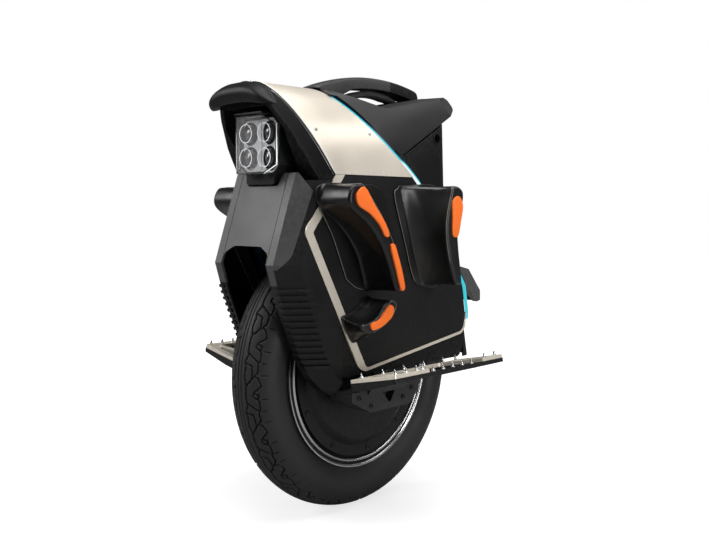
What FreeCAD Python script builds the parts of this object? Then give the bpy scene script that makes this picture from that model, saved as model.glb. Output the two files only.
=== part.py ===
import FreeCAD, Part
import math
import os

# Electric unicycle. Millimetres. +X is forward, +Y is the rider's left, +Z is up.
# The origin lies on the ground under the axle.

V = FreeCAD.Vector

# Tyre, rim and hub motor
TYRE_RADIUS = 233.4
TYRE_WIDTH = 87.4
TYRE_WALL = 8.0
TREAD_GROOVE = 3.0
TYRE_HEIGHT = 81.0
RIM_LIP_RISE = 12.4
RIM_INSET = 7.3
RIM_WALL = 5.0
MAGNET_THICKNESS = 5.0
MOTOR_AIR_GAP = 0.8
STATOR_HALF = 22.0
MOTOR_COVER_WALL = 4.0
MOTOR_COVER_RISE = 8.0
MOTOR_BOLTS = 10
MOTOR_BOLT_TURN = 12.0
BOLT_HEAD_RADIUS = 4.0
BOLT_HEAD_HEIGHT = 2.5
AXLE_RADIUS = 10.0
AXLE_END = 18.0
BEARING_RADIUS = 21.0
BEARING_WIDTH = 12.0
RUNNING_FIT = 0.05
SEAT_FIT = 0.2
WELL_GAP = 10.0
WELL_WALL = 3.0
WELL_SIDE_GAP = 5.3
WELL_BOSS = 7.0

# Body shell
CASE_DEPTH = 31.0
SKIN = 3.0
CASE_WALL = 3.0
PANEL_RISE = 79.0
PANEL_STEP = 5.4
SPRING_DROP = 26.0
CREST_RISE = 144.0
SEAM = 0.6
STRIP_WIDTH = 5.5
DECK_SLOPE = 0.205
TRIM_FRONT = 15.0
TRIM_EDGE = 5.0
BAND_SCREW_RADIUS = 2.6

# Front
FACE_INSET = 24.0
FACE_CHAMFER = 33.0
FACE_WALL = 3.5
RIB_COUNT = 13
RIB_PITCH = 10.0
RIB_HEIGHT = 4.5
RIB_DEPTH = 2.2
COWL_DEPTH = 65.5
COWL_LEAD = 8.0
COWL_ROOM = 8.4
COWL_STEP = 1.2

# Headlight
LENS_SETBACK = 21.9
LENS_HALF = 29.6
LENS_WALL = 2.5
LENS_FACET = 14.0

# Handle, lever and button
HANDLE_WIDTH = 34.0
HANDLE_THICKNESS = 16.0
HANDLE_RISE = 30.0
LEVER_WIDTH = 20.0
LEVER_THICKNESS = 8.0
LEVER_TRAVEL = 4.0
LEVER_PIN_RADIUS = 2.5
BUTTON_RADIUS = 8.0
BUTTON_TRAVEL = 2.0

# Frame and pedals
FRAME_GAP = 3.0
FRAME_PLATE = 6.0
HANGER_STEP = 16.0
HINGE_STEP = 4.0
HINGE_DROP = 7.4
PIN_RADIUS = 4.0
KNUCKLE_RADIUS = 9.0
HINGE_SIDE_GAP = 0.5
PEDAL_TILT = 11.7
PEDAL_LENGTH = 272.0
PEDAL_OFFSET = 5.0
PEDAL_INNER = 21.0
PEDAL_OUTER = 114.0
PEDAL_DECK = 5.5
PEDAL_EDGE = 6.5
SPIKE_RADIUS = 3.0
SPIKE_HEIGHT = 8.0

# Pads
FRONT_PAD_DEPTH = 68.0
REAR_PAD_DEPTH = 63.0
ANKLE_PAD_DEPTH = 43.0
PAD_FLANGE = 3.0
INSERT_DEPTH = 2.0

# Electrics
PORT_RADIUS = 8.0
PORT_DEPTH = 12.0
PORT_WALL = 2.0

# Levels that follow from the sizes above
axle_z = TYRE_RADIUS
tyre_top = axle_z + TYRE_RADIUS
panel_top = tyre_top + PANEL_RISE
spring_z = panel_top - SPRING_DROP
panel_line = panel_top + PANEL_STEP
crest_z = panel_top + CREST_RISE
hinge_z = axle_z - HINGE_DROP

# Widths that follow from the tyre outward
rim_half = TYRE_WIDTH / 2 - RIM_INSET
rim_seat = TYRE_RADIUS - TYRE_HEIGHT
rim_lip = rim_seat + RIM_LIP_RISE
well_half = TYRE_WIDTH / 2 + WELL_SIDE_GAP + WELL_WALL
notch_half = well_half - SEAM
notch_top_half = 0.6 * notch_half
frame_inner = well_half + FRAME_GAP
frame_outer = frame_inner + FRAME_PLATE
axle_half = frame_outer + AXLE_END
body_half = frame_outer + CASE_DEPTH
case_outer = body_half - SKIN - SEAT_FIT
face_half = body_half - FACE_INSET
tail_half = 0.636 * body_half
hanger_outer = body_half + HANGER_STEP
hinge_y = hanger_outer + HINGE_STEP
pedal_front = PEDAL_LENGTH / 2 - PEDAL_OFFSET
pedal_rear = pedal_front - PEDAL_LENGTH
front_pad_out = body_half + FRONT_PAD_DEPTH
rear_pad_out = body_half + REAR_PAD_DEPTH
ankle_pad_out = body_half + ANKLE_PAD_DEPTH

# Lamp sizes that follow from the wheel and the arch
lens_face = TYRE_RADIUS - LENS_SETBACK
lens_height = 0.597 * CREST_RISE
projector_radius = 0.473 * LENS_HALF
projector_spread = 1.42 * LENS_HALF
projector_pitch = 0.43 * lens_height
cowl_back = lens_face - COWL_DEPTH
cowl_front = lens_face + COWL_LEAD
cowl_half = LENS_HALF + LENS_FACET + COWL_ROOM

# One hundredth of the tyre radius: the side outlines are drawn in it, so the body follows its wheel
u = TYRE_RADIUS / 100
# Farther out than any piece: reach of the cutting blocks
wide = 130 * u
# One hundredth of the pedal length
p = PEDAL_LENGTH / 100
# One hundredth of the rise of the arch over the panels: heights above the panels are drawn in it
c = CREST_RISE / 100


def flat_face(corners, plane, depth):
    """Face through (a, b, radius) corners, each rounded, in plane xz, xy or yz at a depth."""
    place = {"xz": lambda a, b: V(a, depth, b), "xy": lambda a, b: V(a, b, depth),
             "yz": lambda a, b: V(depth, a, b)}[plane]
    count = len(corners)
    stops = []
    for i in range(count):
        a, b, radius = corners[i]
        here = V(a, b, 0)
        back = V(corners[i - 1][0], corners[i - 1][1], 0) - here
        ahead = V(corners[(i + 1) % count][0], corners[(i + 1) % count][1], 0) - here
        back.normalize()
        ahead.normalize()
        turn = back.getAngle(ahead)
        if radius <= 0 or turn > math.pi - 0.01:
            stops.append((here, None, here))
            continue
        reach = radius / math.tan(turn / 2)
        middle = back + ahead
        middle.normalize()
        crown = here + middle * (radius / math.sin(turn / 2) - radius)
        stops.append((here + back * reach, crown, here + ahead * reach))
    edges = []
    for i in range(count):
        start, crown, end = stops[i]
        if crown is not None:
            arc = Part.Arc(place(start.x, start.y), place(crown.x, crown.y), place(end.x, end.y))
            edges.append(arc.toShape())
        after = stops[(i + 1) % count][0]
        if (after - end).Length > 0.001:
            edges.append(Part.makeLine(place(end.x, end.y), place(after.x, after.y)))
    return Part.Face(Part.Wire(edges))


def slab(corners, plane, low, high):
    """Solid of a rounded outline between two depths across its plane."""
    across = {"xz": V(0, 1, 0), "xy": V(0, 0, 1), "yz": V(1, 0, 0)}[plane]
    return flat_face(corners, plane, low).extrude(across * (high - low))


def drawn(level, corners):
    """Side outline of (x, rise, radius) corners in hundredths of the tyre radius, counted from a level."""
    return [(x * u, level + rise * u, radius * u) for x, rise, radius in corners]


def inset(corners, distances):
    """Outline moved inward edge by edge; edge i runs from corner i to the next one."""
    count = len(corners)
    area = sum(corners[i - 1][0] * corners[i][1] - corners[i][0] * corners[i - 1][1] for i in range(count))
    side = 1 if area > 0 else -1
    lines = []
    for i in range(count):
        start = V(corners[i][0], corners[i][1], 0)
        along = V(corners[(i + 1) % count][0], corners[(i + 1) % count][1], 0) - start
        along.normalize()
        inward = V(-along.y, along.x, 0) * (side * distances[i])
        lines.append((start + inward, along))
    moved = []
    for i in range(count):
        p, u = lines[i - 1]
        q, w = lines[i]
        cross = u.x * w.y - u.y * w.x
        t = ((q.x - p.x) * w.y - (q.y - p.y) * w.x) / cross
        point = p + u * t
        turning = cross * side
        change = max(distances[i - 1], distances[i], key=abs)
        radius = corners[i][2] - change if turning > 0 else corners[i][2] + change
        moved.append((point.x, point.y, max(radius, 0) if corners[i][2] > 0 else 0))
    return moved


def even_inset(corners, distance):
    return inset(corners, [distance] * len(corners))


def mirror_y(shape):
    return shape.mirror(V(0, 0, 0), V(0, 1, 0))


def rod(radius, start, end):
    """Round bar between two points."""
    return Part.makeCylinder(radius, (end - start).Length, start, end - start)


def ring_y(outer, inner, low, high):
    """Ring about the axle between two Y values."""
    body = rod(outer, V(0, low, axle_z), V(0, high, axle_z))
    return body.cut(rod(inner, V(0, low - 1, axle_z), V(0, high + 1, axle_z)))


def about_axle(profile):
    """Turn a closed chain of (y, r) points and three-point arcs about the axle."""
    edges = []
    for start, end, through in profile:
        a, b = (V(0, p[0], axle_z + p[1]) for p in (start, end))
        if through is None:
            edges.append(Part.makeLine(a, b))
        else:
            edges.append(Part.Arc(a, V(0, through[0], axle_z + through[1]), b).toShape())
    return Part.Face(Part.Wire(edges)).revolve(V(0, 0, axle_z), V(0, 1, 0), 360)


def chain(points):
    """Straight (y, r) outline as segments for about_axle."""
    return [(points[i], points[(i + 1) % len(points)], None) for i in range(len(points))]


# Wheel

def tyre():
    half = TYRE_WIDTH / 2
    shoulder = (0.755 * half, TYRE_RADIUS - 0.142 * TYRE_HEIGHT)
    bead = (rim_half - RIM_WALL - SEAT_FIT, rim_lip + 3)
    toe = (bead[0], rim_seat + SEAT_FIT)
    heel = (toe[0] - TYRE_WALL - 3, toe[1])
    inner_side = (half - TYRE_WALL, rim_seat + 0.531 * TYRE_HEIGHT)
    inner_shoulder = (shoulder[0] - 7, TYRE_RADIUS - 0.247 * TYRE_HEIGHT)
    crown_in = (0, TYRE_RADIUS - TYRE_WALL - 3)
    bulge = (half, rim_seat + 0.531 * TYRE_HEIGHT)
    left = [(shoulder, bead, bulge), (bead, toe, None), (toe, heel, None), (heel, inner_shoulder, inner_side)]
    flip = lambda p: None if p is None else (-p[0], p[1])
    right = [(flip(b), flip(a), flip(m)) for a, b, m in reversed(left)]
    crown = (flip(shoulder), shoulder, (0, TYRE_RADIUS))
    inner = (inner_shoulder, flip(inner_shoulder), crown_in)
    body = about_axle([crown] + left + [inner] + right)
    groove_floor = TYRE_RADIUS - TREAD_GROOVE
    for y in (-0.2 * half, 0.2 * half):
        body = body.cut(ring_y(TYRE_RADIUS + 5, groove_floor - 0.06 * abs(y), y - 1.4, y + 1.4))
    return body


def rim():
    lip = rim_lip
    seat = rim_seat
    well = seat - 8
    inside = rotor_radius()
    half = rim_half
    web = half - RIM_WALL
    points = [(-half, lip), (-web, lip), (-web, seat), (-web + 14, seat), (-web + 18, well), (web - 18, well),
              (web - 14, seat), (web, seat), (web, lip), (half, lip), (half, seat - 3), (half - 6, seat - 6),
              (half - 6, inside), (6 - half, inside), (6 - half, seat - 6), (-half, seat - 3)]
    return about_axle(chain(points))


def rotor_radius():
    return rim_seat - 8 - RIM_WALL


def magnet_ring():
    outer = rotor_radius() - SEAT_FIT
    return ring_y(outer, outer - MAGNET_THICKNESS, -STATOR_HALF, STATOR_HALF)


def stator():
    """Laminated ring with winding heads and a web to the axle."""
    outer = rotor_radius() - SEAT_FIT - MAGNET_THICKNESS - MOTOR_AIR_GAP
    core = ring_y(outer, outer - 30, -STATOR_HALF + 4, STATOR_HALF - 4)
    heads = ring_y(outer - 5, outer - 22, -STATOR_HALF, STATOR_HALF)
    web = ring_y(outer - 28, AXLE_RADIUS + SEAT_FIT, -5, 5)
    return core.fuse([heads, web]).removeSplitter()


def cover_face():
    return rim_half - 6 + MOTOR_COVER_WALL


def motor_cover():
    """Dished end cover with a raised centre disc and a bearing pocket."""
    low = rim_half - 6
    face = cover_face()
    high = face + MOTOR_COVER_RISE
    edge = rotor_radius() + 6
    disc = edge - 18
    pocket = BEARING_RADIUS + SEAT_FIT
    mouth = AXLE_RADIUS + 3
    points = [(low, edge), (face, edge), (face, disc), (high - 2, disc - 7), (high, disc - 12), (high, mouth),
              (high - 2, mouth), (high - 2, pocket), (high - 2 - BEARING_WIDTH - 1, pocket),
              (high - 2 - BEARING_WIDTH - 1, pocket + 6), (low, disc - 20)]
    return about_axle(chain(points))


def hex_peg(low_radius, high_radius, start, end):
    """Six-sided peg between two points, straight or tapered."""
    along = end - start
    wires = []
    for radius, height in ((low_radius, 0), (high_radius, along.Length)):
        turns = [math.pi * i / 3 for i in range(6)]
        corners = [V(radius * math.cos(t), radius * math.sin(t), height) for t in turns]
        wires.append(Part.makePolygon(corners + corners[:1]))
    peg = Part.makeLoft(wires, True, True)
    peg.Placement = FreeCAD.Placement(start, FreeCAD.Rotation(V(0, 0, 1), along))
    return peg


def motor_cover_bolts():
    radius = rotor_radius() - 3
    heads = []
    for i in range(MOTOR_BOLTS):
        angle = math.radians(MOTOR_BOLT_TURN) + 2 * math.pi * i / MOTOR_BOLTS
        base = V(radius * math.cos(angle), cover_face(), axle_z + radius * math.sin(angle))
        head = hex_peg(BOLT_HEAD_RADIUS, BOLT_HEAD_RADIUS, base, base + V(0, BOLT_HEAD_HEIGHT, 0))
        heads += [head, mirror_y(head)]
    return heads


def wheel_bearings():
    outer = cover_face() + MOTOR_COVER_RISE - 2 - 0.5
    bore = AXLE_RADIUS + RUNNING_FIT
    left = ring_y(BEARING_RADIUS, bore, outer - BEARING_WIDTH, outer)
    return [left, mirror_y(left)]


def valve_stem():
    start = V(0, rim_half, axle_z + rim_seat + 4)
    return rod(4, start, start + V(0, 9, 0)).fuse(rod(5, start + V(0, 3, 0), start + V(0, 8, 0)))


def axle():
    shaft = rod(AXLE_RADIUS, V(0, -axle_half, axle_z), V(0, axle_half, axle_z))
    bore = rod(4, V(0, frame_inner - 25, axle_z), V(0, axle_half + 1, axle_z))
    return shaft.cut(bore)


def axle_nuts():
    nuts = []
    for side in (1, -1):
        seat = side * (frame_outer + 8)
        turns = [math.pi * i / 3 for i in range(7)]
        corners = [V(17 * math.cos(t), seat, axle_z + 17 * math.sin(t)) for t in turns]
        nut = Part.Face(Part.makePolygon(corners)).extrude(V(0, side * 9, 0))
        hole = rod(AXLE_RADIUS + SEAT_FIT, V(0, 0, axle_z), V(0, side * wide, axle_z))
        nuts.append(nut.cut(hole))
    return nuts


# Body shell: every outer panel is cut out of one arch

def half_ellipse(x, half, spring, top, start, end):
    """Stretch of an upright ellipse at one X; angles run from the top towards +Y."""
    curve = Part.Ellipse(V(x, 0, top), V(x, half, spring), V(x, 0, spring))
    return Part.Arc(curve, start, end).toShape()


def arch(depth, front, rear, low):
    """Upright arch with a half-ellipse top, moved inward by a depth, between two X values."""
    half = body_half - depth
    top = half_ellipse(rear, half, spring_z, crest_z - depth, -math.pi / 2, math.pi / 2)
    sides = Part.makePolygon([V(rear, -half, spring_z), V(rear, -half, low),
                              V(rear, half, low), V(rear, half, spring_z)])
    outline = Part.Wire(Part.__sortEdges__([top] + sides.Edges))
    return Part.Face(outline).extrude(V(front - rear, 0, 0))


def skin(low=100.0):
    return arch(0, wide, -wide, low).cut(arch(SKIN, wide + 1, -wide - 1, low - 1))


def front_zone(grow=0.0):
    """Side outline of all that lies ahead of the light strip."""
    corners = [(44.56 * u, crest_z + 12, 0), (-34.28 * u, panel_top - 2.57 * u, 85.69 * u),
               (-87.4 * u, axle_z + 57.41 * u, 25.71 * u), (-91.26 * u, axle_z + 35.13 * u, 0),
               (-86.12 * u, axle_z - 25.71 * u, 0), (wide, axle_z - 25.71 * u, 0), (wide, crest_z + 12, 0)]
    return inset(corners, [-grow] * 4 + [0, 0, 0])


def trim_outline():
    return [(49.7 * u, panel_line, 0), (78.83 * u, axle_z + 99.57 * u, 8.57 * u),
            (26.99 * u, axle_z + 3 * u, 10.28 * u), (-88.26 * u, axle_z + 19.71 * u, 8.57 * u),
            (-100.26 * u, axle_z + 57.41 * u, 0), (-38.56 * u, panel_line, 0)]


def trim_edges():
    return [TRIM_FRONT, TRIM_FRONT, TRIM_EDGE, TRIM_EDGE, 0, 0]


def side_trim(shell):
    frame = slab(trim_outline(), "xz", 0, wide).cut(slab(inset(trim_outline(), trim_edges()), "xz", -1, wide))
    ahead = slab(front_zone(-SEAM), "xz", -1, wide)
    return shell.common(frame).common(ahead)


def side_panel(shell):
    edges = [d + SEAM for d in trim_edges()]
    zone = slab(inset(trim_outline(), edges), "xz", 0, wide)
    ahead = slab(front_zone(-SEAM - TRIM_EDGE), "xz", -1, wide)
    return shell.common(zone).common(ahead)


def light_strip(shell):
    zone = slab(front_zone(STRIP_WIDTH), "xz", 0, wide).cut(slab(front_zone(), "xz", -1, wide + 1))
    above = slab([(-wide, axle_z + 70, 0), (wide, axle_z + 70, 0), (wide, crest_z - 14, 0),
                  (-wide, crest_z - 14, 0)],
                 "xz", 0, wide)
    return shell.common(zone).common(above)


def band_front():
    """Front edge of the arch band seen from the side."""
    return [(90.4 * u, crest_z + 12, 0), (49.7 * u, panel_line + SEAM, 0)]


def arch_band(shell):
    corners = band_front() + [(-wide, panel_line + SEAM, 0), (-wide, crest_z + 12, 0)]
    zone = slab(corners, "xz", -wide, wide)
    ahead = slab(front_zone(-SEAM), "xz", -wide - 1, wide + 1)
    return shell.common(zone).common(ahead)


def band_screws():
    heads = []
    for x in (61.5 * u, 10.8 * u):
        z = panel_top + 0.5 * CREST_RISE
        y = body_half * math.sqrt(1 - ((z - spring_z) / (crest_z - spring_z)) ** 2)
        out = V(0, y / body_half ** 2, (z - spring_z) / (crest_z - spring_z) ** 2)
        out.normalize()
        spot = V(x, y, z)
        head = hex_peg(BAND_SCREW_RADIUS, BAND_SCREW_RADIUS, spot + out * 0.05, spot + out * 1.2)
        heads += [head, mirror_y(head)]
    return heads


def case():
    """Side case: outer wall under the panel and walls all round, open towards the wheel."""
    outline = trim_outline()[:2] + [(44.56 * u, axle_z + 35.99 * u, 0),
                                    (44.56 * u, axle_z + 1.71 * u, 4.28 * u),
                                    (-83.98 * u, axle_z + 1.71 * u, 5.14 * u),
                                    (-98.54 * u, axle_z + 25.71 * u, 0),
                                    (-98.54 * u, axle_z + 57.41 * u, 0), (-38.56 * u, panel_line, 0)]
    body = slab(outline, "xz", frame_outer, case_outer).common(slab(front_zone(-SEAM), "xz", 0, wide))
    cavity = slab(even_inset(outline, CASE_WALL), "xz", frame_outer - 1, case_outer - CASE_WALL)
    cavity = cavity.common(slab(front_zone(-SEAM - CASE_WALL), "xz", 0, wide))
    axle_pocket = slab(drawn(axle_z, [(-14.57, -17.14, 0), (14.57, -17.14, 0), (14.57, 14.57, 4.28),
                                      (-14.57, 14.57, 4.28)]),
                       "xz", 0, case_outer - CASE_WALL)
    return body.cut(cavity).cut(axle_pocket).common(arch(SKIN + SEAT_FIT, wide, -wide, 0))


# Front

def nose_sections():
    """Front edge X at falling heights, from the cowl to the foot of the legs."""
    return [(panel_top + 3.43 * u, 76.26 * u), (axle_z + 78.41 * u, 96.27 * u), (axle_z + 58.7 * u, 90.4 * u),
            (axle_z + 18.85 * u, 74.12 * u), (axle_z + 3.43 * u, 64.27 * u), (axle_z - 6 * u, 53.98 * u),
            (axle_z - 12.85 * u, 41.13 * u)]


def nose(depth):
    """Solid front of the body with chamfered sides, moved inward by a depth."""
    wires = []
    for z, x in nose_sections():
        front = x - depth
        face = face_half - depth * 0.6
        side = body_half - depth
        points = [(front, -face), (front, face), (x - FACE_CHAMFER - depth * 0.6, side), (-wide, side),
                  (-wide, -side),
                  (x - FACE_CHAMFER - depth * 0.6, -side)]
        wires.append(Part.makePolygon([V(a, b, z) for a, b in points + points[:1]]))
    return Part.makeLoft(wires, True, True)


def wing_zone():
    """Side outline of the grey front cover with its swept wing."""
    return [(74.98 * u, panel_top + 3 * u, 0), (68.98 * u, panel_top - 8.57 * u, 1.71 * u),
            (85.7 * u, axle_z + 83.98 * u, 10.28 * u), (93.83 * u, axle_z + 75.41 * u, 0),
            (wide, axle_z + 75.41 * u, 0), (wide, panel_top + 3 * u, 0)]


def cover_zone(grow):
    """Room of the front cover: the wing zone and a strip down the front of each leg."""
    wing = slab(even_inset(wing_zone(), -grow), "xz", -wide, wide)
    face = face_half - 0.5 + grow
    foot = axle_z + 65.12 * u - grow
    head = axle_z + 77.12 * u
    strip = slab([(-face, foot, 0), (face, foot, 0), (face, head, 0), (-face, head, 0)], "yz", 81.4 * u, wide)
    return wing.fuse(strip)


def notch():
    top = axle_z + 89.8 * u
    low = axle_z + 85.1 * u
    foot = axle_z - 38.56 * u
    corners = [(-notch_top_half, top, 8), (notch_top_half, top, 8), (notch_half, low, 10),
               (notch_half, foot, 0),
               (-notch_half, foot, 0), (-notch_half, low, 10)]
    return slab(corners, "yz", 25.71 * u, wide)


def front_cover():
    shell = nose(0).cut(nose(FACE_WALL))
    room = bracket_half() + 2
    bracket_gap = slab([(-room, panel_top - 12, 3), (room, panel_top - 12, 3), (room + 14, panel_top + 20, 0),
                        (-room - 14, panel_top + 20, 0)], "yz", 64.27 * u, wide)
    cowl_room = slab(even_inset(cowl_side(), -SEAM), "xz", -wide, wide)
    cover = shell.common(cover_zone(0)).cut(notch()).cut(bracket_gap).cut(cowl_room)
    crease = 0.9
    inner = notch_half + SEAM
    for side in (1, -1):
        line = slab([(side * inner, 0, 0), (side * (inner + 1), 0, 0), (side * (inner + 1), wide * 2, 0),
                     (side * inner, wide * 2, 0)], "yz", 0, wide).cut(nose(crease))
        cover = cover.cut(line)
    return cover


def leg_cover():
    """Ribbed cover down the front of one leg, behind and under the front cover."""
    rear = 44.56 * u + SEAM
    low = axle_z - 25.71 * u
    high = panel_top - 4
    zone = slab([(rear, low, 0), (wide, low, 0), (wide, high, 0), (rear, high, 0)],
                "xz", notch_half + SEAM, wide)
    zone = zone.cut(slab(even_inset(trim_outline(), -SEAM), "xz", 0, wide + 1)).cut(cover_zone(SEAM))
    shell = nose(0).cut(nose(FACE_WALL)).common(zone)
    ribs = []
    skin_outside = nose(-RIB_DEPTH).cut(nose(0.5))
    for i in range(RIB_COUNT):
        top = axle_z + 63.41 * u - i * RIB_PITCH
        rear = 71.12 * u - 0.31 * i * RIB_PITCH
        bar = slab([(rear, top - RIB_HEIGHT, 0), (wide, top - RIB_HEIGHT, 0), (wide, top, 0),
                    (rear + 4, top, 0)],
                   "xz", face_half - 9, body_half + 1)
        ribs.append(skin_outside.common(bar))
    return shell.fuse(ribs)


def half_space(point, out):
    """Block that fills all that lies beyond a plane."""
    plane = Part.makePlane(4 * wide, 4 * wide, V(0, 0, 0), V(0, 0, 1))
    block = plane.extrude(V(0, 0, wide))
    block.translate(V(-2 * wide, -2 * wide, 0))
    block.Placement = FreeCAD.Placement(point, FreeCAD.Rotation(V(0, 0, 1), out)).multiply(block.Placement)
    return block


def cowl_edge():
    """Front edge of the cowl seen from the side, from the front cover up to the visor."""
    foot = panel_top - 3.4
    return [(54 * u, foot, 0), (65.12 * u, foot, 0), (81.4 * u, panel_top + 37.5 * c, 60),
            (cowl_front, crest_z - 27.8 * c, 0),
            (cowl_front, crest_z + 12, 0)]


def cowl_side():
    """Whole side outline of the cowl, from the arch band to its front edge."""
    return [(x + SEAM, z, r) for x, z, r in band_front()] + cowl_edge()


def headlight_cowl():
    """Black housing round the headlight, between the arch band and the front cover."""
    body = arch(COWL_STEP, wide, 25.71 * u, panel_top - 10).common(slab(cowl_side(), "xz", -wide, wide))
    low = panel_line + SEAM
    ledge = slab([(34.28 * u, low, 0), (65.12 * u, low, 0), (75.41 * u, panel_top + 37.5 * c, 0),
                  (83.98 * u, crest_z, 0),
                  (47.99 * u, crest_z, 0)], "xz", -wide, wide)
    body = body.fuse(arch(SKIN + SEAT_FIT, 83.98 * u, 30 * u, low).common(ledge))
    mouth = cowl_half + 24
    lip = lens_face + 28.5
    flare = slab([(cowl_back, -cowl_half, 0), (cowl_back, cowl_half, 0), (lip, mouth, 0), (lip, -mouth, 0)],
                 "xy", panel_top - 40, crest_z - 27.8 * c)
    recess = flare.common(arch(9, wide, 25.71 * u, panel_top - 40))
    hollow = arch(9, cowl_back - 5, 0, panel_top - 40)
    facet = half_space(V(78.8 * u, 0.913 * body_half, panel_top + 37.5 * c), V(0.61, 0.78, -0.08))
    return body.cut(recess).cut(hollow).cut(facet).cut(mirror_y(facet))


def visor_sections():
    """Side, front, rear, low and top of the visor from its right end to its left end."""
    shares = [(0, 104.5, 91.2, 26.4, 3.5), (0.413, 102.8, 91.3, 27, 5.6), (0.652, 100.3, 91.5, 28.5, 11.1),
              (0.793, 98.5, 91.7, 29.9, 18), (0.859, 97.3, 93.8, 29.2, 22.9)]
    half = []
    for side, front, rear, low, top in shares:
        half.append((side * body_half, front * u, rear * u, crest_z - low * c, crest_z - top * c))
    return [(-y, front, rear, low, top) for y, front, rear, low, top in reversed(half[1:])] + half


def visor():
    """Rounded bumper over the headlight, lofted from side to side with tapered ends."""
    wires = []
    for y, front, rear, low, top in visor_sections():
        round_off = 0.44 * (top - low)
        corners = [(rear, top, 0), (front, top - 0.06 * (front - rear), round_off),
                   (front - 2, low, round_off),
                   (rear, low, 0)]
        wires.append(flat_face(corners, "xz", y).OuterWire)
    body = Part.makeLoft(wires, True, False)
    return body.cut(arch(COWL_STEP - SEAT_FIT, cowl_front + SEAT_FIT, 25.71 * u, panel_top - 10))


def lens_z():
    low = panel_top + 4.2 * c
    return low, low + lens_height


def lens_plan(grow):
    """Plan of the lamp front: flat face with a facet at each side."""
    face = lens_face + grow
    flat = LENS_HALF + grow * 0.4
    rear = lens_face - LENS_FACET - 2
    side = LENS_HALF + LENS_FACET + grow
    return [(rear - 6, -side, 0), (rear, -side, 0), (face, -flat, 0), (face, flat, 0), (rear, side, 0),
            (rear - 6, side, 0)]


def lens_front(grow):
    """Front view of the lamp with chamfered corners."""
    low, high = lens_z()
    side = LENS_HALF + LENS_FACET + grow
    step = 0.44 * LENS_HALF
    return [(-side, low + step, 0), (-side + step, low - grow, 0), (side - step, low - grow, 0),
            (side, low + step, 0),
            (side, high - step, 0), (side - step, high + grow, 0), (-side + step, high + grow, 0),
            (-side, high - step, 0)]


def lamp_solid(grow):
    low, high = lens_z()
    return slab(lens_plan(grow), "xy", low - 10, high + 10).common(slab(lens_front(grow), "yz", 42.8 * u, wide))


def headlight_lens():
    return lamp_solid(0).cut(lamp_solid(-LENS_WALL))


def bracket_half():
    return LENS_HALF + 2.4


def headlight_housing():
    low, high = lens_z()
    bracket = bracket_half()
    side = LENS_HALF + LENS_FACET
    rear = lens_face - LENS_FACET - 8
    body = slab(lens_front(2.5), "yz", cowl_back + SEAT_FIT, rear)
    bowl = slab(lens_front(-LENS_WALL), "yz", rear - 16, rear + 1)
    hood = slab([(cowl_back + SEAT_FIT, high + 2.5, 0), (lens_face + 2, high + 2.5, 0),
                 (lens_face + 2, high + 5, 0),
                 (cowl_back + SEAT_FIT, high + 8, 0)], "xz", -side + 12, side - 12)
    foot = slab([(-bracket, panel_top - 10, 4), (bracket, panel_top - 10, 4), (bracket, low - 2.5, 0),
                 (-bracket, low - 2.5, 0)], "yz", cowl_back + 4, rear)
    return body.cut(bowl).fuse([hood, foot]).removeSplitter()


def headlight_projectors():
    rear = lens_face - LENS_FACET - 24
    low, high = lens_z()
    middle = (low + high) / 2
    lamps = []
    for y in (-projector_spread / 2, projector_spread / 2):
        for z in (middle - projector_pitch / 2, middle + projector_pitch / 2):
            barrel = rod(projector_radius, V(rear, y, z), V(rear + 14, y, z))
            bulb = Part.makeSphere(projector_radius * 1.25, V(rear + 4, y, z))
            bowl = bulb.common(rod(projector_radius - 2, V(rear + 14, y, z), V(rear + 24, y, z)))
            lamps.append(barrel.fuse(bowl))
    return lamps


# Rear and top

def deck_points():
    """Side outline of the upper rear block: saddle under the handle, rising deck, overhanging tip."""
    tail = -88.26 * u
    return [(55.7 * u, crest_z - 1.4 * c, 0), (saddle_x(), deck_height(saddle_x()), 70),
            (tail, deck_height(tail), 12),
            (-95.97 * u, crest_z + 4.9 * c, 10), (-102.83 * u, crest_z - 5.6 * c, 6),
            (-21.42 * u, panel_top + 27.8 * c, 24),
            (0, panel_top + 41.7 * c, 0)]


def saddle_x():
    """Lowest point of the deck, under the handle."""
    return -14.57 * u


def deck_height(x):
    """Level of the flat deck, which rises towards the tail."""
    return crest_z - 18 * c - DECK_SLOPE * (x - saddle_x())


def deck_rise():
    """Direction square to the rising deck."""
    return V(DECK_SLOPE, 0, 1).normalize()


def block_loft(depth):
    """Body of the rear block: arch at the front, squarer and narrower at the tail."""
    low = panel_top - 40
    wires = []
    for x, half, spring, top in ((48 * u, body_half - 1, spring_z, crest_z),
            (-104.5 * u, tail_half, panel_top + 68 * c, crest_z + 48.6 * c)):
        half -= depth
        right = half_ellipse(x, half, spring, top - depth, -math.pi / 2, 0)
        left = half_ellipse(x, half, spring, top - depth, 0, math.pi / 2)
        sides = Part.makePolygon([V(x, -half, spring), V(x, -half, low), V(x, half, low), V(x, half, spring)])
        wires.append(Part.Wire(Part.__sortEdges__([right, left] + sides.Edges)))
    return Part.makeLoft(wires, True, True)


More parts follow.
